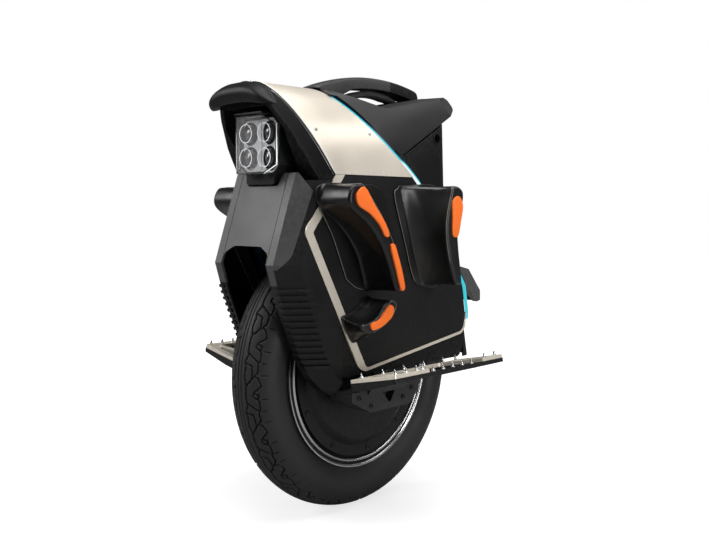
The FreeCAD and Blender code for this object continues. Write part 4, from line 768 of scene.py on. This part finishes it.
def blown_up(name, points, faces, low):
    """Closed skin inflated as cloth, its panel side held; gives points in millimetres, faces and reach."""
    mesh = mesh_of(name, points, faces, split_large=True)
    skin = bpy.data.objects.new(name, mesh)
    bpy.context.scene.collection.objects.link(skin)
    rest = np.array([v.co for v in mesh.vertices])
    held = skin.vertex_groups.new(name="held")
    held.add([int(i) for i in np.nonzero(rest[:, 1] < (low + PAD_HELD) * MM)[0]], 1.0, "REPLACE")
    cloth = skin.modifiers.new("cloth", "CLOTH")
    cloth.settings.vertex_group_mass = "held"
    cloth.settings.use_pressure = True
    cloth.settings.uniform_pressure_force = PAD_PRESSURE
    cloth.settings.effector_weights.gravity = 0.0
    cloth.point_cache.frame_start, cloth.point_cache.frame_end = 1, CLOTH_FRAMES
    for moment in range(1, CLOTH_FRAMES + 1):
        bpy.context.scene.frame_set(moment)
    grown = skin.evaluated_get(bpy.context.evaluated_depsgraph_get()).to_mesh()
    after = np.array([v.co for v in grown.vertices])
    bpy.context.scene.frame_set(1)
    move = after - rest
    reach = np.linalg.norm(move, axis=1).max()
    final = rest + move * min(1.0, PAD_GIVE * MM / reach)
    final_faces = [tuple(p.vertices) for p in mesh.polygons]
    bpy.data.objects.remove(skin)
    return [tuple(p / MM) for p in final], final_faces, reach


threads = []
for name, form in PADS.items():
    rings = pad_rings(**form)
    grown_points, grown_faces, reach = blown_up(name + "_skin", *skin_rings(rings), rings[0][0][1])
    parts = [(grown_points, grown_faces)]
    start = len(rings[0]) * (len(rings) - END_STEPS + 1)
    first, last = (int(n * PER_SPAN) for n in form["piped"])
    threads.append(line_tube(grown_points[start + first:start + last], PIPING_RADIUS))
    if form["flange"]:
        outline = closed_curve(form["flange"]) + [0, form["level"]]
        parts.append(plate(outline, BODY_HALF + PAD_SEAT, BODY_HALF + PAD_FLANGE, FLANGE_EDGE))
        seam = at_y(shrink(outline, WELT_INSET), BODY_HALF + PAD_FLANGE - WELT_INSET)
        first, last = (int(n * PER_SPAN) for n in form["welted"])
        threads.append(line_tube(seam[first:last], PIPING_RADIUS))
    left = joined(*parts)
    for side, (points, faces) in (("left", left), ("right", mirrored(*left))):
        skin = PERFORATED if name == "front_pad" else PAD
        pad = piece(name + "_soft_" + side, points, faces, skin, "chassis", [name + "_" + side], "pad_skin")
        pad.modifiers.new("fine", "SUBSURF").levels = 1
    print(name, "skin points", len(grown_points), "cloth reach", round(float(reach) / MM, 1), "mm")
left = joined(*threads)
piece("pad_piping", *joined(left, mirrored(*left)), PIPING, "chassis", [], "pad_skin")

# %% [markdown]
# ## Orange inserts
# A bright soft insert is glued into the outer end of each pad. It is a thin plate with a rounded rim, drawn
# from its outline: a teardrop and a bar on the front pad, a wedge on the rear pad, a bow on the ankle pad.

# %% Inserts
INSERTS = [
    ([(132, -15), (145, -27), (140, -42), (117, -53.5), (96, -70), (83, -87), (74, -86), (84, -66),
      (106, -41), (122, -20)], PANEL_TOP, FRONT_OUT),
    ([(66, -99), (70, -105), (58, -138), (47, -168), (40, -171), (38, -163), (46, -136), (56, -111),
      (61, -101)], PANEL_TOP, FRONT_OUT),
    ([(-99, -26), (-88, -36), (-88, -62), (-88.5, -88), (-97, -93), (-104, -88), (-110, -66), (-115, -43),
      (-109, -29)], PANEL_TOP, REAR_OUT),
    ([(44, 117), (35, 113), (36, 102), (46, 93), (62, 85), (81, 81), (87, 86), (84, 92), (68, 96.5),
      (54, 109)], AXLE, ANKLE_OUT)]
INSERT_SUNK, INSERT_RISE, INSERT_EDGE = 2.0, 1.6, 1.2
parts = []
for outline, level, out in INSERTS:
    loop = closed_curve(outline) + [0, level]
    left = plate(loop, out - PAD_SPARE - INSERT_SUNK, out + INSERT_RISE, INSERT_EDGE)
    parts += [left, mirrored(*left)]
piece("pad_inserts_soft", *joined(*parts), ORANGE, "chassis", ["pad_inserts"], "orange")
print("inserts", len(parts))

# %% [markdown]
# ## Tyre section
# A road tyre is moulded as one ring. Its section is a crown of one arc and two walls of tighter arcs, which
# end at the rim in the beads, and a hollow inside. The walls need fine points only near the tread, so that
# further down most of them are left out.

# %% Tyre section
TYRE_R = (TYRE_HIGH[2] - TYRE_LOW[2]) / 2 / MM
TYRE_HALF = (TYRE_HIGH[1] - TYRE_LOW[1]) / 2 / MM
SHOULDER = (33.0, TYRE_R - 11.5)
BULGE, TYRE_BEAD = (TYRE_HALF, 195.4), (31.2, 167.8)
CROWN_POINTS, WALL_POINTS = 68, 43
WALL_FINE, WALL_SKIP = 15, 3
INSIDE_HALF = [(31.2, 152.8), (21, 152.8), (30, 190), (24, 214)]
CARCASS = 11.0


def arc_through(a, b, c, count):
    """Points of the circle arc from a through b to c."""
    a, b, c = (np.array(p, float) for p in (a, b, c))
    centre = np.linalg.solve(2 * np.array([b - a, c - a]), [b @ b - a @ a, c @ c - a @ a])
    start, end = (math.atan2(p[1] - centre[1], p[0] - centre[0]) for p in (a, c))
    turns = np.linspace(start, end, count)
    return centre + np.linalg.norm(a - centre) * np.column_stack([np.cos(turns), np.sin(turns)])


crown = arc_through((-SHOULDER[0], SHOULDER[1]), (0, TYRE_R), SHOULDER, CROWN_POINTS)
fine_wall = arc_through(SHOULDER, BULGE, TYRE_BEAD, WALL_POINTS)[1:]
left_wall = np.concatenate([fine_wall[:WALL_FINE], fine_wall[WALL_FINE + WALL_SKIP - 1::WALL_SKIP]])
right_wall = left_wall[::-1] * (-1, 1)
section = np.concatenate([right_wall, crown, left_wall])
inside = INSIDE_HALF + [(0, TYRE_R - CARCASS)] + [(-y, r) for y, r in reversed(INSIDE_HALF)]
print("tyre section", len(section), "points outside and", len(inside), "inside")

# %% [markdown]
# ## Tread
# The mould cuts the tread as grooves between blocks. The tyre is a fine grid: round the wheel in one
# direction, over the section in the other. Every grid point near a groove line is sunk, so that the zig-zag
# blocks and the short shoulder cuts are real relief. The pattern of one stretch repeats round the wheel, and
# the right half is the left half shifted by half a stretch.

# %% Tread
STRETCHES, STEPS = 19, 58
STRETCH_MM = 2 * math.pi * TYRE_R / STRETCHES
GROOVE_LINES = [
    [(0.0, 13.5), (0.18, 10.3), (0.36, 11.6), (0.46, 9.5), (0.60, 14), (0.82, 12.4), (1.0, 13.5)],
    [(0.0, 13.5), (0.28, 32.4), (0.46, 31.7), (0.50, 34.4), (0.66, 34.4), (0.72, 32.1), (0.82, 34.4),
     (0.86, 25.6)],
    [(0.86, 25.6), (1.0, 37.8), (1.16, 33), (1.2, 27)],
    [(0.06, 19.6), (0.2, 23.6), (0.4, 22.3), (0.46, 9.5)],
    [(0.64, 15.5), (0.48, 32.4)],
    [(0.72, 32.1), (0.78, 24.3), (0.86, 25.6)]]
GROOVE_WIDE, GROOVE_DEEP = 1.6, 3.4
SHOULDER_CUTS = [[(0.22, 38), (0.22, 47)], [(0.72, 38), (0.72, 47)], [(0.47, 37), (0.47, 43)]]
CUT_WIDE, CUT_DEEP = 1.1, 2.2
GROOVE_FLARE, GROOVE_WALL = 0.6, 0.9
CENTRE_LINE, CENTRE_HALF, CENTRE_WALL, CENTRE_DEEP = 3.4, 1.1, 0.8, 1.7


def groove_depth(along, across, lines, width, depth):
    """Depth of grooves along polylines at (along, across) millimetre grids, with soft walls."""
    nearest = np.full(along.shape, 1e9)
    for line in lines:
        for (u0, v0), (u1, v1) in zip(line, line[1:]):
            for shift in (-1, 0, 1):
                ax, bx = (u0 + shift) * STRETCH_MM, (u1 + shift) * STRETCH_MM
                length = (bx - ax) ** 2 + (v1 - v0) ** 2
                t = np.clip(((along - ax) * (bx - ax) + (across - v0) * (v1 - v0)) / length, 0, 1)
                off_line = np.hypot(along - ax - t * (bx - ax), across - v0 - t * (v1 - v0))
                nearest = np.minimum(nearest, off_line)
    return depth * np.clip((width / 2 + GROOVE_FLARE - nearest) / GROOVE_WALL, 0, 1)


reach = np.concatenate([[0], np.cumsum(np.hypot(*np.diff(section, axis=0).T))])
middle = len(right_wall) + CROWN_POINTS // 2
across = reach - 0.5 * (reach[middle - 1] + reach[middle])
along = np.arange(STEPS) * STRETCH_MM / STEPS
u, v = np.meshgrid(along, across, indexing="ij")
u = np.where(v < 0, (u + STRETCH_MM / 2) % STRETCH_MM, u)
v = np.abs(v)
sunk = np.maximum(groove_depth(u, v, GROOVE_LINES, GROOVE_WIDE, GROOVE_DEEP),
                  groove_depth(u, v, SHOULDER_CUTS, CUT_WIDE, CUT_DEEP))
sunk = np.maximum(sunk, CENTRE_DEEP * np.clip((CENTRE_HALF - np.abs(v - CENTRE_LINE)) / CENTRE_WALL, 0, 1))
slope = np.gradient(section, axis=0)
outward = np.column_stack([-slope[:, 1], slope[:, 0]]) / np.linalg.norm(slope, axis=1)[:, None]
rings = []
for i in range(STRETCHES * STEPS):
    turn = 2 * math.pi * i / (STRETCHES * STEPS)
    side, r = np.concatenate([section - outward * sunk[i % STEPS][:, None], inside]).T
    rings.append(np.column_stack([r * math.cos(turn), side, AXLE + r * math.sin(turn)]))
piece("tyre_tread", *skin_loop(rings), RUBBER, "wheel", ["tyre"], "tyre_rubber", 50)
print("tyre grid", len(rings), "x", len(section), "groove stretch", round(STRETCH_MM, 1), "mm")

# %% [markdown]
# ## Rim
# The rim is a turned alloy ring. Only its outer lips are left bright: a rolled lip at the tyre and a thin
# bead further in, with a black groove between them, so the wheel shows two silver circles. The profile is
# turned about the axle, and the finish changes along the profile.

# %% Rim
RIM_WELL = [(13.4, 144.4), (17.4, 152.4)]
RIM_LIP = [(31.4, 152.4), (31.5, 163.6), (32.4, 164.7), (34.6, 164.7), (36.1, 164.0), (36.3, 162.6),
           (35.6, 161.2), (34.0, 160.0), (33.6, 157.0), (34.2, 155.4), (35.6, 154.6), (36.2, 153.4),
           (35.8, 152.0), (34.4, 151.0), (31.6, 148.6), (30.6, 146.4), (30.4, 139.6)]
RIM_SEGMENTS = 220
LIP_BRIGHT = 160.2
BEAD_LOW, BEAD_HIGH, BEAD_OUT = 151.4, 155.2, 33.0


def turned(profile, segments):
    """Points and faces of a closed (y, r) profile turned about the axle."""
    rings = []
    for i in range(segments):
        turn = 2 * math.pi * i / segments
        rings.append([(r * math.cos(turn), y, AXLE + r * math.sin(turn)) for y, r in profile])
    return skin_loop(rings)


left = RIM_WELL + RIM_LIP
profile = left + [(-y, r) for y, r in reversed(left)]
rim = piece("rim_turned", *turned(profile, RIM_SEGMENTS), [RIM_ALLOY, DARK], "wheel", ["rim"],
            "rim_metal", 55)
for polygon in rim.data.polygons:
    spot = sum((rim.data.vertices[i].co for i in polygon.vertices), Vector()) / len(polygon.vertices)
    r = math.hypot(spot.x, spot.z - AXLE * MM) / MM
    on_bead = BEAD_LOW < r < BEAD_HIGH and abs(spot.y) > BEAD_OUT * MM
    polygon.material_index = 0 if r > LIP_BRIGHT or on_bead else 1
print("rim profile", len(profile), "points")

# %% [markdown]
# ## Small fasteners and spikes
# The CAD pegs mark where each fastener sits. The button-head screws here have a rounded rim and a hexagon
# socket, and the pedal spikes are turned pins with a collar and a cone. A form is a list of rings, with
# radius and height as shares of those of the peg. Each group of equal fasteners is one piece.

# %% Screws and spikes
ROUND, HEX = 24, 6
BUTTON_HEAD = [(1, 0, ROUND), (1, 0.35, ROUND), (0.93, 0.72, ROUND), (0.72, 1, ROUND), (0.58, 1, HEX),
               (0.55, 0.35, HEX)]
SPIKE_PIN = [(1, 0, HEX), (1, 0.22, HEX), (0.86, 0.27, ROUND), (0.62, 0.3, ROUND), (0.5, 0.62, ROUND),
             (0.3, 0.94, ROUND), (0.14, 1, ROUND)]
SPRING = PANEL_TOP - 26.0
PEDAL_TILT = math.radians(11.7)
SAME_POINT = 1e-6


def loose_parts(node):
    """Point arrays, in millimetres, of the separate solids of a CAD node."""
    work = bmesh.new()
    work.from_mesh(node.data)
    bmesh.ops.remove_doubles(work, verts=work.verts, dist=SAME_POINT)
    left_over, found = set(work.verts), []
    while left_over:
        stack, group = [left_over.pop()], []
        while stack:
            vertex = stack.pop()
            group.append(np.array(vertex.co) / MM)
            for edge in vertex.link_edges:
                other = edge.other_vert(vertex)
                if other in left_over:
                    left_over.remove(other)
                    stack.append(other)
        found.append(np.array(group))
    work.free()
    return found


def on_axis(rings, base, axis):
    """Rings given as (radius, height, corners) set up along an axis from a base point."""
    side = axis.orthogonal().normalized()
    other = axis.cross(side)
    made = []
    for radius, height, corners in rings:
        flat = math.pi / corners
        ring = []
        for i in range(ROUND):
            turn = 2 * math.pi * i / ROUND
            r = radius
            if corners == HEX:
                r *= math.cos(flat) / math.cos(turn % (2 * flat) - flat)
            ring.append(base + axis * height + side * (r * math.cos(turn)) + other * (r * math.sin(turn)))
        made.append(ring)
    return skin_rings(made)


def stud_piece(name, node, form, axis_of, material, body, slot):
    """All the studs of one CAD node as one piece, each set where its peg stands."""
    parts = []
    for group in loose_parts(NODES[node]):
        axis = Vector(axis_of(group.mean(axis=0))).normalized()
        heights = group @ np.array(axis)
        centre = Vector(group.mean(axis=0))
        base = centre + axis * (heights.min() - centre.dot(axis))
        spread = group - np.outer(heights, np.array(axis))
        radius = np.linalg.norm(spread - spread.mean(axis=0), axis=1).max()
        tall = heights.max() - heights.min()
        parts.append(on_axis([(r * radius, h * tall, corners) for r, h, corners in form], base, axis))
    piece(name, *joined(*parts), material, body, [node], slot, 30)
    print(name, len(parts))


def sideways(spot):
    """Direction away from the middle of the machine."""
    return (0, math.copysign(1, spot[1]), 0)


def off_arch(spot):
    """Direction square to the elliptical arch of the body."""
    return (0, spot[1] / BODY_HALF ** 2, (spot[2] - SPRING) / (CREST - SPRING) ** 2)


stud_piece("motor_screws", "motor_cover_bolts", BUTTON_HEAD, sideways, DARK_STEEL, "wheel", "steel")
stud_piece("hanger_screws", "hanger_bolts", BUTTON_HEAD, sideways, DARK_STEEL, "chassis", "steel")
stud_piece("band_button_screws", "band_screws", BUTTON_HEAD, off_arch, STEEL, "chassis", "steel")
for side, lean in (("left", -1), ("right", 1)):
    off_deck = (0, lean * math.sin(PEDAL_TILT), math.cos(PEDAL_TILT))
    stud_piece("spikes_" + side, "pedal_spikes_" + side, SPIKE_PIN, lambda spot: off_deck, SPIKE,
               "pedal_" + side, "spike_steel")

# %% [markdown]
# ## Visor
# A soft bumper hangs over the headlight like an eyebrow. It is fullest in the middle, bends back towards
# both ends and closes there in a point. It is skinned from side to side through closed sections; each one
# has a shallow groove behind its top edge and a thin lip under its front.

# %% Visor
VISOR_SIDE = [0, 20, 32, 42, 50, 56, 60, 64, 68, 73]
VISOR_FRONT = [243.8, 243.8, 243.8, 243.6, 243, 241.6, 239, 235, 230, 222]
VISOR_REAR = [213.2, 213.2, 213.2, 213.4, 213.6, 213.8, 214, 214.6, 216, 219.6]
VISOR_LOW = [-34.6, -35, -36, -37.4, -38.6, -39.4, -39.8, -40.2, -40.4, -40.4]
VISOR_TOP = [-2.8, -3.4, -5.6, -9, -13.4, -18.4, -23.4, -29, -34, -39.2]
VISOR_STATIONS, VISOR_PER_SPAN = 61, 6
VISOR_FULL = 25.0


def visor_ring(y):
    """Closed section of the visor at one Y, drawn from its front, rear, lowest and highest values there."""
    rows = (VISOR_FRONT, VISOR_REAR, VISOR_LOW, VISOR_TOP)
    front, rear, low, top = (np.interp(abs(y), VISOR_SIDE, row) for row in rows)
    deep, tall = front - rear, top - low
    fine = min(1.0, deep / VISOR_FULL)
    groove = [(rear, top - 1.6 * fine), (rear + 4 * fine, top), (rear + 6.4 * fine, top - 1.5 * fine),
              (rear + 8.6 * fine, top - 0.5 * fine)]
    brow = [(rear + 0.62 * deep, top - 0.07 * tall), (front - 0.08 * deep, top - 0.28 * tall),
            (front, top - 0.56 * tall), (front - 0.1 * deep, low + 0.15 * tall)]
    lip = [(front - 0.24 * deep, low), (front - 0.36 * deep, low + 0.03 * tall)]
    back = [(rear + 0.3 * deep, low + 0.1 * tall), (rear, low + 0.15 * tall), (rear, low + 0.5 * tall)]
    return at_y(closed_curve(groove + brow + lip + back, VISOR_PER_SPAN) + [0, CREST], y)


stations = VISOR_SIDE[-1] * np.sin(np.linspace(-math.pi / 2, math.pi / 2, VISOR_STATIONS))
sections = [visor_ring(y) for y in stations]
piece("visor_soft", *skin_rings(sections), VISOR_BLACK, "chassis", ["visor"], "visor_rubber", 50)
print("visor stations", len(sections))

# %% [markdown]
# ## Handle and lever
# The carry handle is a bent channel: a rounded back and two side walls, with the squeeze lever lying between
# the walls. A plain cap closes its rear end. All three are one section carried along a circle arc. Each
# station of handle and cap is cut off just above what lies under it, so that the feet stand on the body.

# %% Handle, cap and lever
HANDLE_CURVE = [(92.0, CREST + 3.0), (-30.1, CREST + 30.0), (-168.0, CREST + 17.1)]
HANDLE_DEEP, HANDLE_HALF, CHANNEL_HALF, CHANNEL_ROOF = 20.0, 17.0, 12.2, 13.0
HANDLE_STATIONS, HANDLE_THIN = 90, 2.6
GUSSET_X, GUSSET_DEEP = (5.0, 45.0), (0.0, 10.0)
CAP_START, CAP_NOSE, CAP_SEAM, CAP_PROUD, CAP_DROP = -92.0, 10.0, 0.3, 0.4, 0.8
LEVER_CURVE = [(36.0, CREST - 19.0), (-44.1, CREST + 9.0), (-114.0, CREST - 2.2)]
LEVER_DEEP, LEVER_HALF, LEVER_STATIONS = 11.0, 10.0, 40
LEVER_TAPER_X, LEVER_TAPER = (-116.0, -88.0), (4.0, 0.0)
BAND_REAR, DECK_FRONT, SADDLE = 80.0, (130.0, CREST - 2.0), (-34.0, CREST - 26.0)
DECK_RISE, SEAT_GAP = 0.205, 0.3


def deck_level(x):
    """Level of the deck: it falls from the band to the saddle and rises behind it."""
    if x > SADDLE[0]:
        return np.interp(x, (SADDLE[0], DECK_FRONT[0]), (SADDLE[1], DECK_FRONT[1]))
    return SADDLE[1] - DECK_RISE * (x - SADDLE[0])


def under_handle(x):
    """Level just above the arch or the deck below the handle."""
    return (CREST if x > BAND_REAR else deck_level(x)) + SEAT_GAP


def carried(curve, section_at):
    """Sections (y, depth below the curve) carried along a chain of (x, z) points, square to it."""
    curve = np.array(curve)
    slope = np.gradient(curve, axis=0)
    slope /= np.linalg.norm(slope, axis=1)[:, None]
    rings = []
    for (x, z), (dx, dz) in zip(curve, slope):
        rings.append([(x - dz * deep, y, z + dx * deep) for y, deep in section_at(x, z)])
    return skin_rings(rings)


def both_sides(half, deepest):
    """Closed section from its left half, cut off at the deepest level."""
    half = [(y, min(d, deepest)) for y, d in half]
    return half + [(-y, d) for y, d in reversed(half[1:-1])]


def grip_section(x, z):
    """Channel of the handle at one station."""
    gusset = HANDLE_DEEP + np.interp(x, GUSSET_X, GUSSET_DEEP)
    deep = min(gusset, max(HANDLE_THIN, z - under_handle(x)))
    roof = min(CHANNEL_ROOF, deep - 1.0)
    half = [(0, 0), (8, 0.3), (13, 1.4), (16, 3.6), (HANDLE_HALF, 6.6), (HANDLE_HALF, deep - 1),
            (HANDLE_HALF - 1, deep), (CHANNEL_HALF, deep), (CHANNEL_HALF, roof), (0, roof)]
    return both_sides(half, deep)


def cap_section(x, z):
    """Solid section of the end cap, rounded off at its rear end."""
    deep = min(HANDLE_DEEP, z - under_handle(x))
    past = max(0.0, (HANDLE_CURVE[2][0] + CAP_NOSE - x) / CAP_NOSE)
    sink = CAP_DROP * deep * (1 - math.sqrt(max(0.0, 1 - past ** 2)))
    wide = HANDLE_HALF + CAP_PROUD
    half = [(0, sink), (8, sink + 0.3), (13, sink + 1.4), (16.4, sink + 3.6), (wide, sink + 6.6),
            (wide, deep), (0, deep)]
    return both_sides(half, deep)


def lever_section(x, z):
    """Rounded bar of the lever, thinner towards its rear end."""
    deep = LEVER_DEEP - np.interp(x, LEVER_TAPER_X, LEVER_TAPER)
    half = [(0, 0), (LEVER_HALF - 2, 0.2), (LEVER_HALF, 2.2), (LEVER_HALF, deep - 3), (LEVER_HALF - 3, deep),
            (0, deep)]
    return both_sides(half, deep)


curve = arc_through(*HANDLE_CURVE, HANDLE_STATIONS)
seam_z = float(np.interp(-CAP_START, [-p[0] for p in curve], [p[1] for p in curve]))
grip = [p for p in curve if p[0] > CAP_START + 1] + [(CAP_START + CAP_SEAM, seam_z)]
cap = [(CAP_START - CAP_SEAM, seam_z)] + [p for p in curve if p[0] < CAP_START - 1]
bar = arc_through(*LEVER_CURVE, LEVER_STATIONS)
piece("handle_grip", *carried(grip, grip_section), HANDLE_GREY, "chassis", ["handle"], "handle_black", 35)
piece("handle_cap", *carried(cap, cap_section), DARK, "chassis", ["handle_end_cap"], "handle_black", 35)
piece("lever_bar", *carried(bar, lever_section), HANDLE_GREY, "lever", ["lift_lever"], "handle_black", 35)
print("handle stations", len(grip), "cap stations", len(cap))

# %% [markdown]
# ## Rails beside the handle
# The upper rear block swells up on both sides of the handle until it is level with the band, and runs out
# towards the saddle. Behind the saddle a flatter swell follows the deck. Both are rails between the hand
# pocket and the rounded side of the block, so the outer face of the front one continues that side.

# %% Block rails
RAIL_INNER, RAIL_SUNK, RAIL_THIN, RAIL_PROUD = 23.0, 1.5, 1.5, 0.05
RAIL_X = [79.0, 60.0, 40.0, 20.0, 0.0, -14.0]
RAIL_LIFT = [6.4, 5.8, 4.6, 3.0, 1.4, 0.4]
DECK_X = [-16.0, -45.0, -75.0, -150.0, -196.0]
DECK_LIFT = [0.5, 3.5, 5.2, 4.6, 1.5]
RAIL_STATIONS, DECK_STATIONS, RAIL_SIDE_POINTS = 24, 30, 7
DECK_INSET = 0.4
BLOCK_FRONT = (112.0, BODY_HALF - 1, SPRING, CREST)
BLOCK_TAIL = (-243.9, 58.5, PANEL_TOP + 98, CREST + 70)


def block_side(x, z):
    """Half width of the rear block at one X and height."""
    share = (BLOCK_FRONT[0] - x) / (BLOCK_FRONT[0] - BLOCK_TAIL[0])
    half, spring, top = (a + share * (b - a) for a, b in zip(BLOCK_FRONT[1:], BLOCK_TAIL[1:]))
    return half * math.sqrt(max(0.0, 1 - ((z - spring) / (top - spring)) ** 2))


def rail_ring(x):
    """Section of the rail beside the handle, as (y, height over the deck)."""
    lift = np.interp(x, RAIL_X[::-1], RAIL_LIFT[::-1])
    heights = np.linspace(lift, -RAIL_SUNK, RAIL_SIDE_POINTS)
    side = [(block_side(x, deck_level(x) + h) + RAIL_PROUD, h) for h in heights]
    inner = min(RAIL_INNER, side[0][0] - RAIL_THIN)
    return [(inner, -RAIL_SUNK), (inner, lift - 1), (inner + 1, lift)] + side


def deck_ring(x):
    """Section of the flatter rail along the deck, as (y, height over the deck)."""
    lift = np.interp(x, DECK_X[::-1], DECK_LIFT[::-1])
    edge = block_side(x, deck_level(x)) - DECK_INSET
    return [(RAIL_INNER, -RAIL_SUNK), (RAIL_INNER, lift - 1), (RAIL_INNER + 1.2, lift),
            (0.5 * (RAIL_INNER + edge), 0.72 * lift), (edge - 1, 0.4), (edge, -0.3), (edge - 1, -RAIL_SUNK)]


rails = []
for ends, count, ring_at in ((RAIL_X, RAIL_STATIONS, rail_ring), (DECK_X, DECK_STATIONS, deck_ring)):
    stations = np.linspace(ends[0], ends[-1], count)
    left = skin_rings([[(x, y, deck_level(x) + h) for y, h in ring_at(x)] for x in stations])
    rails += [left, mirrored(*left)]
piece("block_rails", *joined(*rails), BLOCK_GREY, "chassis", [], "grey_shell", 35)
print("rails", len(rails))

# %% [markdown]
# ## Headlight lens
# The lens is one moulding: a flat frosted front and two clear facets that slope back to the sides, with cut
# corners. It is skinned through three eight-cornered rings, and then given a wall and a small arris, so that
# light bends at its edges as it does in a real lens.

# %% Lens
LENS_LOW, LENS_HIGH = (Vector(c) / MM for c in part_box("headlight_lens"))
LENS_FLAT, LENS_CORNER, FACET_BACK = 29.6, 13.0, 16.0
LENS_THICK, LENS_ARRIS = 2.2, 0.7
face_x, side_y, low, high = LENS_HIGH.x, LENS_HIGH.y, LENS_LOW.z, LENS_HIGH.z


def eight(side, inner, step, side_x, inner_x):
    """Eight corners of the lens: upright sides at one half width, flat top and bottom within another."""
    right = [(inner_x, inner, low), (side_x, side, low + step), (side_x, side, high - step),
             (inner_x, inner, high)]
    return right + [(x, -y, z) for x, y, z in reversed(right)]


corner_y = side_y - LENS_CORNER
facet_x = face_x - FACET_BACK
corner_x = face_x - FACET_BACK * (corner_y - LENS_FLAT) / (side_y - LENS_FLAT)
rings = [eight(LENS_FLAT, LENS_FLAT - 0.6, 0.8, face_x, face_x),
         eight(side_y, corner_y, LENS_CORNER, facet_x, corner_x),
         eight(side_y, corner_y, LENS_CORNER, LENS_LOW.x, LENS_LOW.x)]
lens = piece("lamp_lens", *skin_rings(rings, True, False), [CLEAR, FROST], "chassis", ["headlight_lens"],
             "lens_clear", 20)
for polygon in lens.data.polygons:
    polygon.material_index = 1 if len(polygon.vertices) == 8 else 0
wall = lens.modifiers.new("wall", "SOLIDIFY")
wall.thickness = LENS_THICK * MM
wall.offset = -1.0
arris = lens.modifiers.new("arris", "BEVEL")
arris.width = LENS_ARRIS * MM
arris.segments = 2
print("lens face at", round(face_x, 1), "half width", round(side_y, 1))

# %% [markdown]
# ## Inside the headlight
# Behind the lens lies a pale pane with four black wells; a glass projector and a thin ring sit in each.
# The rings glow white, and a glowing bead runs along the outer edge of the facets: both are painted
# highlights for the glints there. The wells are rings with real depth, so the lens shows a room and not a
# drawing.

# %% Pane, wells and beads
LAMPS = loose_parts(NODES["headlight_projectors"])
PANE_X = max(group[:, 0].max() for group in LAMPS) - 6.0
PANE_HALF, PANE_INSET, PANE_THICK = 37.0, 4.0, 3.0
WELL_RINGS = ((17.6, 0.1), (17.2, 0.9), (15.2, 0.5), (14.4, 3.2), (13.6, 3.4), (12.8, 0.4))
RING_RADIUS, RING_AHEAD, RING_THICK = 13.9, 10.5, 0.5
FACET_GLINT_RADIUS = 0.8


def facing_front(loop, x):
    """2D loop of (y, z) points set square to the driving direction."""
    return [(x, y, z) for y, z in loop]


def circle(y, z, r, count=48):
    """Closed 2D loop round one point."""
    turns = [2 * math.pi * i / count for i in range(count)]
    return [(y + r * math.cos(t), z + r * math.sin(t)) for t in turns]


def tube(path_points, radius, corners=8):
    """Closed ring of round section along a closed chain of points square to the driving direction."""
    path_points = [Vector(p) for p in path_points]
    ahead = Vector((1, 0, 0))
    rings = []
    for i, here in enumerate(path_points):
        along = (path_points[(i + 1) % len(path_points)] - path_points[i - 1]).normalized()
        side = along.cross(ahead).normalized()
        turns = [2 * math.pi * k / corners for k in range(corners)]
        rings.append([here + side * (radius * math.cos(t)) + ahead * (radius * math.sin(t)) for t in turns])
    return skin_loop(rings)


pane_low, pane_high = low + PANE_INSET, high - PANE_INSET
outline = [(-PANE_HALF, pane_low), (PANE_HALF, pane_low), (PANE_HALF, pane_high), (-PANE_HALF, pane_high)]
pane = skin_rings([facing_front(outline, PANE_X - PANE_THICK), facing_front(outline, PANE_X)])
piece("lamp_pane", *pane, REFLECTOR, "chassis", [], "projector_bright", 30)
wells, beads = [], []
for group in LAMPS:
    y, z = group[:, 1].mean(), group[:, 2].mean()
    well = [facing_front(circle(y, z, r), PANE_X + ahead) for r, ahead in WELL_RINGS]
    wells.append(skin_rings(well, False, False))
    beads.append(tube(facing_front(circle(y, z, RING_RADIUS), PANE_X + RING_AHEAD), RING_THICK))
piece("lamp_wells", *joined(*wells), DARK, "chassis", [], "black_shell", 30)
# Painted highlight: a glowing bead along each facet edge stands in for the glint of light on that edge.
for side in (1, -1):
    levels = (high - LENS_CORNER, (low + high) / 2, low + LENS_CORNER)
    run = [(facet_x - 1, side * (side_y + 0.4), z) for z in levels]
    run.append((corner_x - 2, side * (corner_y + 0.6), low - 0.3))
    beads.append(line_tube(run, FACET_GLINT_RADIUS))
piece("lamp_painted_glints", *joined(*beads), PAINTED_GLINT, "chassis", [], "projector_bright", 50)
print("lamp wells", len(wells), "pane at", round(PANE_X, 1))

# %% [markdown]
# ## Beads along the band
# The champagne band ends at the front in a rolled bead, painted much paler than the band: a painted
# highlight that shows as a thin white line. The black cowl answers it with a finer line across a dark gap.
# Both follow the slanted front edge over the arch.

# %% Band beads
BAND_TOP, BAND_FOOT = (211.0, CREST + 12), (116.0, PANEL_TOP + TRIM_STEP)


def over_arch(ahead, sink, count=72):
    """Chain of points over the arch along the front edge of the band, some millimetres ahead of it."""
    chain = []
    first = math.asin((BAND_FOOT[1] - SPRING) / (CREST - SPRING))
    for turn in np.linspace(first, math.pi - first, count):
        z = SPRING + (CREST - SPRING - sink) * math.sin(turn)
        share = (z - BAND_FOOT[1]) / (BAND_TOP[1] - BAND_FOOT[1])
        x = BAND_FOOT[0] + share * (BAND_TOP[0] - BAND_FOOT[0]) + ahead
        chain.append((x, (BODY_HALF - sink) * math.cos(turn), z))
    return chain


piece("band_bead", *line_tube(over_arch(1.4, -0.5), 1.2), BAND_BEAD_HIGHLIGHT, "chassis", [], "champagne")
piece("cowl_bead", *line_tube(over_arch(6.0, 0.7), 0.6), STEEL, "chassis", [], "steel")
print("band beads from", BAND_TOP, "to", BAND_FOOT)
